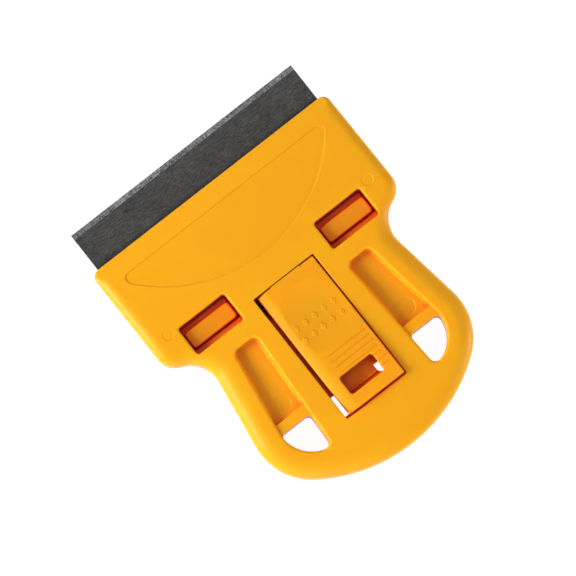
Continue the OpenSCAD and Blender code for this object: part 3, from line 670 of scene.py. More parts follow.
def flank_x(back, inset):
    return (FLARE_N.dot(SIDE_C) + HANDLE_SIDE_R - inset + FLARE_N.y * back) / FLARE_N.x


def end_back(x, inset):
    return BODY_L - END_R + math.sqrt((END_R - inset) ** 2 - x * x)


RIB_COUNT = 4
RIB_BACKS = [TEAR_BACK + (POCKET_END_BACK - TEAR_BACK) * (i + 0.5) / RIB_COUNT
             for i in range(RIB_COUNT)]
END_RIB_XS = [share * HANDLE_HALF_W for share in (-0.6, -0.3, 0, 0.3, 0.6)]


def end_ribs(z0, z1):
    return [block(x - RIB_T / 2, x + RIB_T / 2, SLOT_END_BACK, end_back(x, WALL / 2 + WELD), z0, z1)
            for x in END_RIB_XS]


def head_rib(x, end):
    """Rib under the head's roof, which follows the roof's slope."""
    sink = WALL - WELD
    start = BLADE_T + 3 * WALL
    profile = [(-b, face_z(b) - sink) for b in (start, KNEE_BACK, BROW_BACK)]
    profile += [(-end, BODY_T - sink), (-end, ROOF_CLEAR_Z), (-2 * start, ROOF_CLEAR_Z)]
    return along_x(profile[::-1], x - RIB_T / 2, x + RIB_T / 2)


def front_walls():
    """Walls, ribs and bosses under the front shell's roof."""
    roof = BODY_T - WALL + WELD
    rib_top = BODY_T - WALL - WELD
    walls = [
        block(SLOT_X0 - INNER_WALL, SLOT_X1 + INNER_WALL, SLOT_BACK - INNER_WALL,
              SLOT_END_BACK + INNER_WALL, ROOF_CLEAR_Z, roof),
        block(SLOT_X0 - INNER_WALL, SLOT_X1 + INNER_WALL, WELL_BACK,
              SLOT_END_BACK + INNER_WALL, SPLIT_Z, roof),
        block(SLOT_X0 - CHEEK_W, SLOT_X1 + CHEEK_W, AXIS_BACK - BARREL_R,
              AXIS_BACK + BARREL_R, ROOF_CLEAR_Z, roof)]
    for b in RIB_BACKS:
        walls += both(block(SLOT_X1, flank_x(b, WALL / 2), b - RIB_T / 2, b + RIB_T / 2,
                            SPLIT_Z, rib_top))
    return walls + end_ribs(SPLIT_Z, rib_top) + both(
        prism(window_outline(COARSE), INNER_WALL, ROOF_CLEAR_Z, roof),
        prism(teardrop(TEAR_BACK, TEAR_CORNER_R, COARSE), INNER_WALL,
              POCKET_FLOOR_Z - INNER_WALL, roof),
        prism(teardrop(HOLE_BACK, HOLE_R, COARSE), INNER_WALL, SPLIT_Z, roof),
        head_rib(HEAD_SCREW_X, HEAD_SCREW_BACK),
        head_rib(WINDOW_IN_X / 2, SLOT_BACK),
        prism(disc(*HEAD_BOSS, 4 * COARSE), 0, SPLIT_Z, roof),
        prism(disc(*HANDLE_BOSS, 4 * COARSE), 0, SPLIT_Z, POCKET_FLOOR_Z - WELD))


def panel():
    """Shallow D-shaped recess that follows the head's slope."""
    outline = half_panel(FINE)
    rings = []
    for run, rise in quarter(PANEL_DEPTH):
        grow = run - PANEL_DEPTH
        rings.append([(x + nx * grow, y + ny * grow,
                       face_z(-y - ny * grow) - PANEL_DEPTH + rise) for x, y, nx, ny in outline])
    rings.append([(x, y, face_z(-y) + OVER) for x, y, nx, ny in outline])
    return mirrored_rings(rings)


def front_openings():
    """Slot, windows, teardrop openings and holes of the front shell."""
    cuts = [
        front_cut(slot_part(SLOT_BACK, SLOT_END_BACK, 0), SLOT_FLOOR_Z, BODY_T, SLOT_RIM_R),
        prism(slot_part(SLOT_BACK + DRAFT_STEP, WELL_BACK, DRAFT_STEP), 0,
              SPLIT_Z - OVER, SLOT_FLOOR_Z + OVER),
        prism(finger_outline(), 0, SPLIT_Z - OVER, SLOT_FLOOR_Z + OVER),
        block(SLOT_X0, SLOT_X1, WELL_BACK + INNER_WALL, FINGER_BACK - INNER_WALL,
              SPLIT_Z - OVER, SLOT_FLOOR_Z - SLOT_FLOOR_T)]
    pocket = [pocket_ring(DRAFT_STEP + POCKET_SOFT - rise, POCKET_FLOOR_Z + run)
              for run, rise in quarter(POCKET_SOFT, EDGE_STEPS)]
    cuts += both(
        front_cut(window_outline(), ROOF_CLEAR_Z - OVER, BODY_T, WINDOW_RIM_R),
        front_cut(teardrop(TEAR_BACK, TEAR_CORNER_R), BAR_Z, BODY_T, TEAR_RIM_R),
        through_rings(pocket + [pocket_ring(DRAFT_STEP, BAR_Z + RIM_R)]),
        prism(teardrop(HOLE_BACK, HOLE_R), -DRAFT_STEP, SPLIT_Z - OVER, BAR_Z + RIM_R),
        *[prism(disc(x, back, r + SCREW_GAP), 0, SPLIT_Z - OVER, SPLIT_Z + 2 * WALL)
          for x, back, r, _ in (HEAD_SCREW, HANDLE_SCREW)],
        sink_mark(*HEAD_BOSS, BODY_T),
        sink_mark(*HANDLE_BOSS, POCKET_FLOOR_Z))
    return cuts + [panel(), nose_room()] + pin_saddle()


def sink_mark(x, back, r, z):
    """Shallow ring-edged dip where the face has sunk over a boss."""
    return levels(disc(x, back, 0), [(r - SINK_MARK_EDGE, z - SINK_MARK_DEPTH), (r, z),
                                     (r, z + OVER)])


def pin_saddle():
    """Seat for the hinge pin, open towards the back."""
    reach = (pin_high.x - pin_low.x) / 2 + WELD
    r = PIN_R + PIN_GAP
    return [along_x(circle(-AXIS_BACK, AXIS_Z, r, range(0, 360, 15)), -reach, reach),
            block(-reach, reach, AXIS_BACK - r, AXIS_BACK + r, ROOF_CLEAR_Z - OVER, AXIS_Z)]


def tongue_side(neck):
    """Right side of the tongue's outline, which curves out from its neck to its full width."""
    flank = TONGUE_END_W / 2 - neck
    end_y = -FINGER_BACK - TONGUE_L
    side = [(neck, -FINGER_BACK + OVER)]
    side += [(x, y) for x, y, *_ in arc((neck + flank, end_y + RIB_T + flank), flank,
                                        180, 270, FINE)]
    return side + [(TONGUE_END_W / 2, end_y)]


def tongue():
    """Catch tongue that reaches over the finger hole, with its ridge."""
    neck = TONGUE_NECK_W / 2
    ring = tongue_side(neck)[::-1] + [(-x, y) for x, y in tongue_side(TONGUE_NECK_LEFT)]
    plate = upright(ring, SLOT_FLOOR_Z - SLOT_FLOOR_T, SLOT_FLOOR_Z)
    ridge_y = -FINGER_BACK - TONGUE_L / 2
    half = RIB_T / 2
    ridge = along_x([(ridge_y - half, SLOT_FLOOR_Z - OVER), (ridge_y + half, SLOT_FLOOR_Z - OVER)]
                    + circle(ridge_y, SLOT_FLOOR_Z + RIDGE_H - half, half, range(0, 181, 20)),
                    -neck, neck)
    return [plate, ridge]


def slot_shelves():
    """Shelves under the lever's end and right side, which make the gaps there shallow."""
    floor = SLOT_FLOOR_Z - SLOT_FLOOR_T
    return [block(SLOT_X0 - WELD, SLOT_X1 + WELD, SLOT_END_BACK - SHELF_W,
                  SLOT_END_BACK + WELD, floor, END_SHELF_Z),
            block(SLOT_X1 - SHELF_W, SLOT_X1 + WELD, WELL_BACK, SLOT_END_BACK - WELD,
                  floor, SIDE_SHELF_Z)]


def nose_room():
    """Room in the slot's front wall that the lever's nose swings through."""
    r = math.hypot(BARREL_R, BARREL_R)
    return along_x(circle(-AXIS_BACK, AXIS_Z, r, range(-90, 91, 5)), SLOT_X0, SLOT_X1)


def ledge():
    """Ledge at the handle side of a window, its edge just rounded."""
    top = BODY_T - LEDGE_DROP
    y1 = LEDGE_W - WINDOW_END_BACK
    edge = [(y1 - run, top - RIM_R + rise) for run, rise in quarter(RIM_R)]
    return along_x([(-WINDOW_END_BACK - WELD, ROOF_CLEAR_Z), (y1, ROOF_CLEAR_Z)] + edge
                   + [(-WINDOW_END_BACK - WELD, top)], WINDOW_IN_X - WELD, WINDOW_OUT_X + WELD)


def front_shell(plastic):
    piece = carve("front_moulding", front_form(0, SPLIT_Z, LIP_EDGE, FINE, EDGE_STEPS, PARTING),
                  cut(front_form(WALL, SPLIT_Z - OVER, LEAST_EDGE, COARSE, 3))
                  + add(*front_walls()) + cut(*front_openings())
                  + add(*tongue(), *slot_shelves(), *both(ledge())))
    seat(piece, "body", "front_shell", "shell_plastic", plastic)


def screw_hole(x, back, shank_r, head_t):
    return [prism(disc(x, back, shank_r + 2 * SCREW_GAP), 0, -OVER, SPLIT_Z + OVER),
            back_cut(disc(x, back, shank_r * SCREW_HEAD_SHARE + 2 * SCREW_GAP),
                     SCREW_SINK + head_t, SCREW_SINK)]


def rear_shell(plastic):
    base = FLOOR_T - WELD
    hollow = half_outline(COARSE)
    hollow = [(x - nx * WALL, y - ny * WALL) for x, y, nx, ny in hollow
              if y - ny * WALL < -STOP_BACK - RIB_T]
    top = (hollow[-1][0], -STOP_BACK - RIB_T)
    ring = hollow + [top, (-top[0], top[1])] + [(-x, y) for x, y in reversed(hollow[1:])]
    changes = cut(block(-CHANNEL_X, CHANNEL_X, -OVER, STOP_BACK, FLOOR_T, SPLIT_Z + OVER),
                  upright(ring, FLOOR_T, SPLIT_Z + OVER))
    inside = [prism(finger_outline(), INNER_WALL, base, SPLIT_Z)]
    for b in RIB_BACKS:
        inside.append(block(-flank_x(b, WALL / 2), flank_x(b, WALL / 2), b - RIB_T / 2,
                            b + RIB_T / 2, base, SPLIT_Z))
    inside += end_ribs(base, SPLIT_Z)
    inside += both(prism(teardrop(HOLE_BACK, HOLE_R, COARSE), INNER_WALL, base, SPLIT_Z),
                   prism(disc(*HEAD_BOSS), 0, base, SPLIT_Z),
                   prism(disc(*HANDLE_BOSS), 0, base, SPLIT_Z))
    holes = [back_cut(finger_outline(), SPLIT_Z + OVER, TEAR_RIM_R)]
    holes += both(back_cut(teardrop(HOLE_BACK, HOLE_R), SPLIT_Z + OVER, TEAR_RIM_R),
                  *screw_hole(*HEAD_SCREW), *screw_hole(*HANDLE_SCREW))
    piece = carve("rear_moulding", rear_form(), changes + add(*inside) + cut(*holes))
    seat(piece, "body", "rear_shell", "shell_plastic", plastic)


# Clamp plate, blade and lever

def key():
    """Key that shows in a window, with a rounded top and a low step in front of it."""
    outline = box_outline(WINDOW_IN_X + KEY_SIDE_GAP, WINDOW_OUT_X - KEY_SIDE_GAP,
                          WINDOW_BACK + KEY_FRONT_GAP,
                          WINDOW_END_BACK - LEDGE_W - KEY_BACK_GAP, WINDOW_R)
    top = [(-run, KEY_Z - KEY_EDGE + rise) for run, rise in quarter(KEY_EDGE)]
    step = block(WINDOW_IN_X + KEY_SIDE_GAP, WINDOW_OUT_X - KEY_SIDE_GAP,
                 WINDOW_BACK + KEY_STEP_GAP, WINDOW_BACK + KEY_FRONT_GAP + PLATE_T,
                 PLATE_Z + PLATE_RELIEF, BODY_T - KEY_STEP_DROP)
    return [levels(outline, [(0, PLATE_Z + PLATE_RELIEF)] + top), step]


def clamp_plate(plastic):
    low_z = PLATE_Z + PLATE_T - WELD
    rib_x = (SLOT_W / 2 + WINDOW_IN_X) / 2
    rib = along_x([(-JAW_END_BACK, low_z), (-PLATE_RIB_END_BACK, low_z),
                   (-PLATE_RIB_END_BACK, ROOF_CLEAR_Z + PLATE_T),
                   (-STOP_BACK, ROOF_CLEAR_Z + PLATE_T)],
                  rib_x - RIB_T / 2, rib_x + RIB_T / 2)
    base = block(-BLADE_W / 2 + PLATE_GAP, BLADE_W / 2 - PLATE_GAP, JAW_BACK, STOP_BACK,
                 PLATE_Z, PLATE_Z + PLATE_T)
    tail = block(-WINDOW_OUT_X, WINDOW_OUT_X, STOP_BACK - WELD, PLATE_END_BACK,
                 PLATE_Z, PLATE_Z + PLATE_T)
    seat_pad = block(-CAM_SEAT_W / 2, CAM_SEAT_W / 2, SLOT_BACK - WELD,
                     WELL_BACK - PLATE_GAP, PLATE_Z, CAM_SEAT_Z)
    relief = block(-HEAD_X, HEAD_X, JAW_END_BACK, BODY_L, PLATE_Z - OVER,
                   PLATE_Z + PLATE_RELIEF)
    piece = carve("clamp_jaw", base, add(tail, seat_pad, *both(*key(), rib)) + cut(relief))
    seat(piece, "plate", "clamp_plate", "plate_plastic", plastic)


def blade(steel, bevel_steel):
    """Blade with its bevel ground on the front face and its other edges just broken."""
    top = FLOOR_T + BLADE_T
    chip = BROKEN_EDGE
    spine = BLADE_REACH - BLADE_DEPTH
    ring = [(spine, FLOOR_T + chip), (spine + chip, FLOOR_T), (BLADE_REACH, FLOOR_T),
            (BLADE_REACH, FLOOR_T + CUT_EDGE_T), (BLADE_REACH - BEVEL_W, top),
            (spine + chip, top), (spine, top - chip)]
    half = BLADE_W / 2
    middle = FLOOR_T + BLADE_T / 2
    share = 1 - chip / (BLADE_T / 2)
    small = [(y, middle + (z - middle) * share) for y, z in ring]
    piece = raw_object("blade_steel", through_rings(
        [[(x, y, z) for y, z in profile] for x, profile in
         ((-half, small), (-half + chip, ring), (half - chip, ring), (half, small))]))
    seat(piece, "blade", "blade", "blade_steel", steel, bevel_steel)
    for face in piece.data.polygons:
        if face.normal.z > 0.5 and face.normal.y > 0.1:
            face.material_index = 1


LEVER_RISE = math.degrees(math.asin(TAIL_RISE / LEVER_L))
CAM_C = (-CAM_THROW * sind(CAM_LEAN), -CAM_THROW * cosd(CAM_LEAN))


def raised(y, z):
    """Turns a point of the level lever about its axis, up towards the tail."""
    return (y * cosd(LEVER_RISE) + z * sind(LEVER_RISE),
            z * cosd(LEVER_RISE) - y * sind(LEVER_RISE))


def lever_profile():
    """Side view of the lever as stations (y, z, inward y, inward z) about its axis."""
    under = BARREL_R - ARM_T
    stations = arc((0, 0), BARREL_R, 90 + LEVER_RISE, 0, 2 * FINE, 0, -1)
    stations += arc(CAM_C, CAM_R, 0, -CAM_SWEEP, 3 * FINE, 1, 0)
    stations.append((*raised(-2 * BARREL_R, under), 0, 0))
    for z, start, out in ((under + RIM_R, 270, 0), (BARREL_R - RIM_R, 180, -1)):
        tail = arc((-LEVER_L + RIM_R, z), RIM_R, start, start - 90, RIM_STEPS, 0, out)
        stations += [(*raised(y, z), *raised(ny, nz)) for y, z, ny, nz in tail]
    return stations


def lever_bar():
    """The lever's solid form: a soft slope along its left top edge, a crisp edge on the right."""
    stations = lever_profile()
    sides = [(-1, *step) for step in LEVER_SLOPE_EDGE]
    sides += [(1, *step) for step in reversed(LEVER_SHARP_EDGE)]
    rings = []
    for side, run, drop in sides:
        x = side * (LEVER_W / 2 - run)
        rings.append([(x, y + ny * drop, z + nz * drop) for y, z, ny, nz in stations])
    return through_rings(rings)


def head_nose():
    """Nose along the lever's head, softly rounded at its sides and crisp in the middle."""
    half, mid = LEVER_W / 2, NOSE_W / 2
    left = [(run - half, drop) for run, drop in LEVER_SLOPE_EDGE] + [(WELD - mid, 0)]
    right = [(mid - WELD, 0)] + [(half - run, drop) for run, drop in reversed(LEVER_SHARP_EDGE)]
    end = BARREL_R - NOSE_GAP
    pieces = []
    for spots, r in ((left, NOSE_SOFT), ([(-mid, 0), (mid, 0)], NOSE_CRISP), (right, NOSE_SOFT)):
        ring = [(0, BARREL_R - NOSE_T), (end, BARREL_R - NOSE_T)]
        ring += [(end - run, BARREL_R - r + rise) for run, rise in quarter(r)]
        ring.append((0, BARREL_R))
        pieces.append(through_rings([[(x, y, z - drop) for y, z in ring] for x, drop in spots]))
    return pieces


def dish_z(spread):
    """Height of the dish's floor at a distance from its middle, a part of a ball."""
    return BARREL_R - DISH_DEPTH + DISH_BALL_R - math.sqrt(DISH_BALL_R ** 2 - spread * spread)


def thumb_dish():
    spreads = [DISH_R * i / DISH_STEPS for i in range(1, DISH_STEPS + 1)]
    return levels(disc(0, DISH_FROM_AXIS, 0),
                  [(spread, dish_z(spread)) for spread in spreads] + [(DISH_R, BARREL_R + OVER)])


def grip_pads():
    """Two rows of raised lozenges in the thumb dish."""
    pads = []
    for y in PAD_ROWS:
        for x in (k * PAD_PITCH for k in range(-2, 3)):
            floor = BARREL_R - DISH_DEPTH + (x * x + y * y) / (2 * DISH_BALL_R)
            mid = -DISH_FROM_AXIS + y
            outline = rounded([(x, mid - PAD_L / 2), (x + PAD_W / 2, mid), (x, mid + PAD_L / 2),
                               (x - PAD_W / 2, mid)], PAD_CORNERS, 4)
            top = [(-run, floor + rise) for run, rise in quarter(PAD_H)]
            pads.append(levels(outline, [(0, floor - PAD_H)] + top))
    return pads


def clamp_lever(plastic):
    lean = Matrix.Rotation(math.radians(-LEVER_RISE), 4, "X")
    window_tail = LEVER_L - LEVER_WINDOW_FROM_TAIL
    window = box_outline(-LEVER_WINDOW_W / 2, LEVER_WINDOW_W / 2,
                         window_tail - LEVER_WINDOW_L, window_tail, WINDOW_R)
    skirt = LEVER_W / 2 - RIB_T
    leaning = [thumb_dish(),
               front_cut(window, -OVER, BARREL_R, RIM_R),
               block(-skirt, skirt, 2 * BARREL_R + RIB_T,
                     window_tail - LEVER_WINDOW_L - RIB_T, -OVER, BARREL_R - SKIN_T)]
    for i in range(GROOVE_COUNT):
        y = -GROOVE_FROM_AXIS - i * GROOVE_PITCH
        z = BARREL_R + GROOVE_R - GROOVE_DEPTH
        leaning.append(through_rings([
            [(x, *spot) for spot in circle(y, z + lift, GROOVE_R)]
            for x, lift in ((GROOVE_X0, GROOVE_DEPTH), (GROOVE_FULL_X, 0), (GROOVE_X1, 0))]))
    bore = along_x(circle(0, 0, PIN_R + SCREW_GAP), -LEVER_W / 2 - OVER, LEVER_W / 2 + OVER)
    pawl = block(-PAWL_W / 2, PAWL_W / 2, PAWL_FROM_AXIS, PAWL_FROM_AXIS + RIB_T,
                 -PAWL_DROP, BARREL_R - ARM_T + WELD)
    changes = add(*head_nose()) + cut(bore, *[moved(s, lean) for s in leaning])
    changes += add(moved(pawl, lean), *[moved(s, lean) for s in grip_pads()])
    piece = carve("lever_moulding", lever_bar(), changes)
    piece.data.transform(Matrix.Translation((LEVER_MID_X, -AXIS_BACK, AXIS_Z)))
    seat(piece, "lever", "clamp_lever", "lever_plastic", plastic)


# Pin and screws

def hinge_pin(steel):
    """Pin with its ends rounded over."""
    tip = [(run, PIN_R - PIN_TIP + rise) for run, rise in quarter(PIN_TIP)]
    ends = [(pin_low.x + run, r) for run, r in tip]
    ends += [(pin_high.x - run, r) for run, r in reversed(tip)]
    rings = [[(x, *spot) for spot in circle(-AXIS_BACK, AXIS_Z, r, range(0, 360, 8))]
             for x, r in ends]
    piece = raw_object("pin_turned", through_rings(rings))
    seat(piece, "body", "hinge_pin", "fastener_steel", steel)


def screw_pair(name, node, x, back, shank_r, head_t, tip_z, steel):
    """Two screws with low round heads and cross recesses, heads towards the back."""
    head_r = shank_r * SCREW_HEAD_SHARE
    edge = head_t / 3
    sink = SCREW_SINK
    turned = [(head_r - edge + rise, sink + run) for run, rise in quarter(edge)]
    turned += [(head_r, sink + head_t), (shank_r, sink + head_t),
               (shank_r, tip_z - shank_r), (shank_r / 2, tip_z)]
    recess = []
    half = shank_r / 5
    depths = [(sink - OVER, 1)] + [(sink + head_t * share, w) for share, w in RECESS_DEPTHS]
    for long_x in (True, False):
        rings = []
        for z, spread in depths:
            arm = head_r * RECESS_ARM * spread
            a, b = (arm, half) if long_x else (half, arm)
            rings.append([(x + i * a, j * b - back, z)
                          for i, j in ((-1, -1), (1, -1), (1, 1), (-1, 1))])
        recess.append(through_rings(rings))
    one = levels(disc(x, back, 0), turned)
    piece = carve(name, one, add(flipped(one)) + cut(*both(*recess)))
    seat(piece, "body", node, "fastener_steel", steel)


# Shader nodes

def feed(tree, node, values):
    """Gives a node's inputs their values; a socket is linked and anything else is set."""
    for key, value in values.items():
        if isinstance(value, bpy.types.NodeSocket):
            tree.links.new(value, node.inputs[key])
        else:
            node.inputs[key].default_value = value
    return node


def add_node(tree, kind, values=None, **settings):
    node = tree.nodes.new(kind)
    for key, value in settings.items():
        setattr(node, key, value)
    return feed(tree, node, values or {})


def math_node(tree, operation, *values):
    return add_node(tree, "ShaderNodeMath", dict(enumerate(values)), operation=operation).outputs[0]


def vector_node(tree, operation, values):
    return add_node(tree, "ShaderNodeVectorMath", values, operation=operation).outputs[0]


def noise_node(tree, place, **values):
    return add_node(tree, "ShaderNodeTexNoise", {"Vector": place, **values}).outputs


def map_range(tree, value, low, high, to_low=0.0, to_high=1.0, **settings):
    values = {"Value": value, "From Min": low, "From Max": high, "To Min": to_low,
              "To Max": to_high}
    return add_node(tree, "ShaderNodeMapRange", values, **settings).outputs["Result"]


def mix_colors(tree, share, color, other):
    values = {0: share, 6: color, 7: other}
    return add_node(tree, "ShaderNodeMix", values, data_type="RGBA").outputs[2]


def object_place(tree):
    return add_node(tree, "ShaderNodeTexCoord").outputs["Object"]


def open_share(tree, distance):
    """How open a spot is: 1 on an open face, and towards 0 in narrow places. It masks the painted
    shade in the materials.
    """
    return add_node(tree, "ShaderNodeAmbientOcclusion", {"Distance": distance},
                    samples=6).outputs["AO"]


def bump(tree, height, distance, **under):
    values = {"Height": height, "Strength": 1.0, "Distance": distance, **under}
    return add_node(tree, "ShaderNodeBump", values).outputs["Normal"]


def new_group(name, inputs, outputs):
    """Node group; inputs are (name, kind, value), outputs (name, kind)."""
    tree = bpy.data.node_groups.new(name, "ShaderNodeTree")
    for label, kind, value in inputs:
        socket = tree.interface.new_socket(label, in_out="INPUT", socket_type="NodeSocket" + kind)
        socket.default_value = value
    for label, kind in outputs:
        tree.interface.new_socket(label, in_out="OUTPUT", socket_type="NodeSocket" + kind)
    return tree, tree.nodes.new("NodeGroupInput").outputs, tree.nodes.new("NodeGroupOutput")


def grain_group():
    """Fine surface grain, which stretches along an axis where its scale there is small."""
    tree, ins, out = new_group(
        "surface_grain",
        [("Scale", "Vector", (1, 1, 1)), ("Roughness", "Float", 0.4), ("Spread", "Float", 0.1)],
        [("Height", "Float"), ("Roughness", "Float")])
    scaled = vector_node(tree, "MULTIPLY", {0: object_place(tree), 1: ins["Scale"]})
    height = noise_node(tree, scaled, Scale=1000.0, Detail=4.0, Roughness=0.6)["Fac"]
    centred = math_node(tree, "SUBTRACT", height, 0.5)
    rough = math_node(tree, "MULTIPLY_ADD", centred, ins["Spread"], ins["Roughness"])
    feed(tree, out, {"Height": height, "Roughness": rough})
    return tree


def drift_group():
    """Slow drift between two colours over the surface."""
    tree, ins, out = new_group(
        "colour_drift",
        [("Color", "Color", (1, 1, 1, 1)), ("Other", "Color", (1, 1, 1, 1)),
         ("Scale", "Float", 40.0)],
        [("Color", "Color")])
    noise = noise_node(tree, object_place(tree), Scale=ins["Scale"], Detail=3.0, Roughness=0.55)
    share = map_range(tree, noise["Fac"], 0.32, 0.68)
    feed(tree, out, {"Color": mix_colors(tree, share, ins["Color"], ins["Other"])})
    return tree


def scratch_group():
    """Sparse hairline scratches in many directions, as a mask."""
    tree, ins, out = new_group(
        "hairline_scratches",
        [("Scale", "Float", 60.0), ("Width", "Float", 0.012), ("Sparseness", "Float", 0.6)],
        [("Mask", "Float")])
    place = object_place(tree)
    bend = noise_node(tree, place, Scale=90.0, Detail=2.0)["Color"]
    bent = vector_node(tree, "MULTIPLY_ADD", {0: bend, 1: (0.012, 0.012, 0.012), 2: place})
    cells = add_node(tree, "ShaderNodeTexVoronoi", {"Vector": bent, "Scale": ins["Scale"]},
                     feature="DISTANCE_TO_EDGE")
    line = math_node(tree, "LESS_THAN", cells.outputs["Distance"], ins["Width"])
    patch = noise_node(tree, place, Scale=150.0)["Fac"]
    kept = math_node(tree, "GREATER_THAN", patch, ins["Sparseness"])
    feed(tree, out, {"Mask": math_node(tree, "MULTIPLY", line, kept)})
    return tree


grain = grain_group()
drift = drift_group()
scratches = scratch_group()


def use_group(tree, group, **values):
    return add_node(tree, "ShaderNodeGroup", values, node_tree=group).outputs


def new_material(name):
    material = bpy.data.materials.new(name)
    material.use_nodes = True
    return material, material.node_tree


def moulded_plastic(name, color, other, roughness):
    """Glossy moulded plastic with a faint ripple, fine grain and light handling marks.

    In narrow places its colour is mixed towards a deeper red: painted shade, which stands in for
    the light bounced between the walls and back through the plastic there."""
    material, tree = new_material(name)
    hue = use_group(tree, drift, Color=(*color, 1), Other=(*other, 1), Scale=38.0)
    # Painted shade: where the AO share is low, the base colour turns darker and redder.
    painted_shade_share = map_range(tree, open_share(tree, 0.01), 0.26, 0.8, 1.0, 0.0,
                        interpolation_type="SMOOTHSTEP")
    painted_shade_red = (0.87 * color[0], 0.2 * color[1], 0.002, 1)
    ripple = use_group(tree, grain, Scale=(0.09, 0.09, 0.09), Roughness=roughness, Spread=0.14)
    fine = use_group(tree, grain, Scale=(3.2, 3.2, 3.2), Roughness=0.0, Spread=0.12)
    marks = use_group(tree, scratches, Scale=55.0, Width=0.006, Sparseness=0.6)
    rough = math_node(tree, "ADD", ripple["Roughness"], fine["Roughness"])
    waves = bump(tree, ripple["Height"], 0.00003)
    feed(tree, tree.nodes["Principled BSDF"], {
        "Base Color": mix_colors(tree, painted_shade_share, hue["Color"], painted_shade_red),
        "Roughness": math_node(tree, "MULTIPLY_ADD", marks["Mask"], 0.12, rough),
        "Normal": bump(tree, fine["Height"], 0.000012, Normal=waves),
        "IOR": 1.5,
        "Specular IOR Level": 0.2,
        "Subsurface Weight": 0.5,
        "Subsurface Radius": (1.0, 0.3, 0.04),
        "Subsurface Scale": 0.0021})
    return material


def rolled_steel(name, color, other, along, roughness, contrast=0.3):
    """Steel with a grain drawn out along one axis, and painted shade that darkens it in narrow
    places.
    """
    material, tree = new_material(name)
    strokes = use_group(tree, grain, Scale=along, Roughness=roughness, Spread=0.3)
    specks = use_group(tree, grain, Scale=(2.2, 2.2, 2.2), Roughness=0.0, Spread=0.2)
    blotches = use_group(tree, drift, Color=(*color, 1), Other=(*other, 1), Scale=160.0)
    uneven = math_node(tree, "ADD", strokes["Height"], specks["Height"])
    share = map_range(tree, uneven, 0.75, 1.25, 1 - contrast, 1 + contrast)
    # Painted shade: the colour darkens where the AO share is low, such as on the blade under the
    # mouth's lip.
    shade = map_range(tree, open_share(tree, 0.0025), 0.45, 0.95, 0.3, 1.0)
    shaded = math_node(tree, "MULTIPLY", share, shade)
    feed(tree, tree.nodes["Principled BSDF"], {
        "Base Color": vector_node(tree, "SCALE", {0: blotches["Color"], 3: shaded}),
        "Roughness": math_node(tree, "ADD", strokes["Roughness"], specks["Roughness"]),
        "Normal": bump(tree, strokes["Height"], 0.00002),
        "Metallic": 1.0})
    return material


shell_orange = moulded_plastic("shell_orange", (1.0, 0.445, 0.005), (0.98, 0.415, 0.004), 0.38)
lever_orange = moulded_plastic("lever_orange", (1.0, 0.4, 0.005), (0.98, 0.38, 0.004), 0.33)
# A darker, redder copy of the shell's orange: painted shade for the plate, whose keys show only
# deep in the windows.
plate_orange_painted_shade = moulded_plastic("plate_orange_painted_shade", (0.9, 0.34, 0.005), (0.88, 0.31, 0.004), 0.38)
blued_steel = rolled_steel("blued_steel", (0.055, 0.054, 0.051), (0.07, 0.069, 0.067),
                           (0.6, 2.4, 2.4), 0.42, 0.45)
ground_steel = rolled_steel("ground_steel", (0.22, 0.22, 0.235), (0.12, 0.12, 0.13),
                            (2.4, 0.8, 1.0), 0.36, 0.9)
zinc_steel = rolled_steel("zinc_steel", (0.62, 0.63, 0.64), (0.5, 0.51, 0.53),
                          (0.5, 0.5, 0.5), 0.3)
pin_steel = rolled_steel("pin_steel", (0.045, 0.018, 0.01), (0.03, 0.01, 0.006),
                         (0.5, 2.0, 2.0), 0.6)


# Floor, light and camera

def seen_share(tree):
    """1 for rays that show the backdrop, straight, mirrored or through glass; 0 for its light."""
    rays = add_node(tree, "ShaderNodeLightPath").outputs
    seen = math_node(tree, "MAXIMUM", rays["Is Camera Ray"], rays["Is Glossy Ray"])
    return math_node(tree, "MAXIMUM", seen, rays["Is Transmission Ray"])


FLOOR_GREY = 0.8
SEEN_FLOOR_GREY = 0.14
SEEN_FLOOR_GLOW = 0.95


def floor_material():
    """White to the camera and in reflections, and still darkened by the object's shadow."""
    material, tree = new_material("white_floor")
    tree.nodes.remove(tree.nodes["Principled BSDF"])
    seen = seen_share(tree)
    paper, dim = (add_node(tree, "ShaderNodeBsdfDiffuse", {"Color": (g, g, g, 1)}).outputs[0]
                  for g in (FLOOR_GREY, SEEN_FLOOR_GREY))
    lit = add_node(tree, "ShaderNodeMixShader", {0: seen, 1: paper, 2: dim}).outputs[0]
    glow = add_node(tree, "ShaderNodeEmission",
                    {"Strength": math_node(tree, "MULTIPLY", seen, SEEN_FLOOR_GLOW)}).outputs[0]
    whole = add_node(tree, "ShaderNodeAddShader", {0: lit, 1: glow}).outputs[0]
    feed(tree, tree.nodes["Material Output"], {"Surface": whole})
    return material


def floor():
    half = 2.0
    mesh = bpy.data.meshes.new("floor")
    mesh.from_pydata([(-half, -half, 0), (half, -half, 0), (half, half, 0), (-half, half, 0)],
                     [], [(0, 1, 2, 3)])
    mesh.materials.append(floor_material())
    piece = put("floor", mesh)


def dome(level):
    """Even pale sky; the camera and reflections see it white."""
    world = bpy.data.worlds.new("pale_dome")
    world.use_nodes = True
    bpy.context.scene.world = world
    tree = world.node_tree
    strength = map_range(tree, seen_share(tree), 0.0, 1.0, level, 1.0)
    feed(tree, tree.nodes["Background"], {"Color": (1, 1, 1, 1), "Strength": strength})


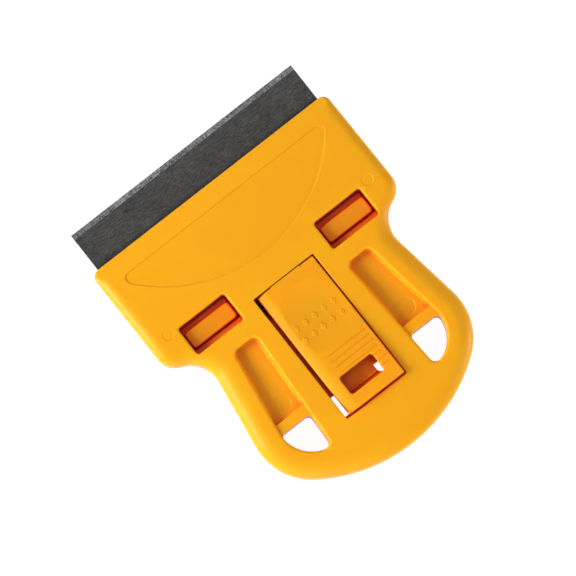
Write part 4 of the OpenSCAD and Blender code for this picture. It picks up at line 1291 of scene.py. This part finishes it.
def soft_light(name, toward, height_angle, size, level):
    """Square light; level is how bright it makes a white face that is turned to it."""
    direction = toward * cosd(height_angle) + Vector((0, 0, sind(height_angle)))
    lamp = bpy.data.lights.new(name, "AREA")
    lamp.shape = "SQUARE"
    lamp.size = size
    lamp.energy = level * math.pi ** 2 * LIGHT_AWAY ** 2
    holder = put(name, lamp)
    holder.location = direction * LIGHT_AWAY
    holder.rotation_euler = (-direction).to_track_quat("-Z", "Y").to_euler()


PHOTO_TURN = -38.15
PHOTO_RIGHT = Vector((cosd(PHOTO_TURN), sind(PHOTO_TURN), 0))
PHOTO_UP = Vector((-sind(PHOTO_TURN), cosd(PHOTO_TURN), 0))
CAMERA_AT = Vector((-0.0011, 0.0037, 0.012))
CAMERA_FROM = Vector((-0.075, -0.07, 1)).normalized()
CAMERA_AWAY = 4.0
LIGHT_AWAY = 1.2
VIEW_W = 0.2057


def camera():
    """Far camera, a few degrees off square towards the bottom of the picture."""
    lens_data = bpy.data.cameras.new("photo_camera")
    lens_data.sensor_width = 36
    lens_data.lens = lens_data.sensor_width * CAMERA_AWAY / VIEW_W
    lens_data.clip_end = 10
    holder = put("photo_camera", lens_data)
    right = PHOTO_UP.cross(CAMERA_FROM).normalized()
    up = CAMERA_FROM.cross(right)
    turn = Matrix((right, up, CAMERA_FROM)).transposed().to_4x4()
    holder.matrix_world = Matrix.Translation(CAMERA_AT + CAMERA_FROM * CAMERA_AWAY) @ turn
    bpy.context.scene.camera = holder


# The scraper

front_shell(shell_orange)
rear_shell(shell_orange)
clamp_plate(plate_orange_painted_shade)
blade(blued_steel, ground_steel)
clamp_lever(lever_orange)
hinge_pin(pin_steel)
screw_pair("head_screw_pair", "head_screws", *HEAD_SCREW, HEAD_SCREW_TOP, zinc_steel)
screw_pair("handle_screw_pair", "handle_screws", *HANDLE_SCREW, HANDLE_SCREW_TOP, zinc_steel)

floor()
dome(0.37)
soft_light("key", Vector((-0.9, 0.43, 0)), 26, 0.6, 1.19)
soft_light("low_fill", -PHOTO_UP, 14, 0.5, 0.3)
soft_light("far_fill", PHOTO_RIGHT, 10, 0.4, 0.48)
camera()
bpy.context.scene.view_settings.view_transform = "Standard"
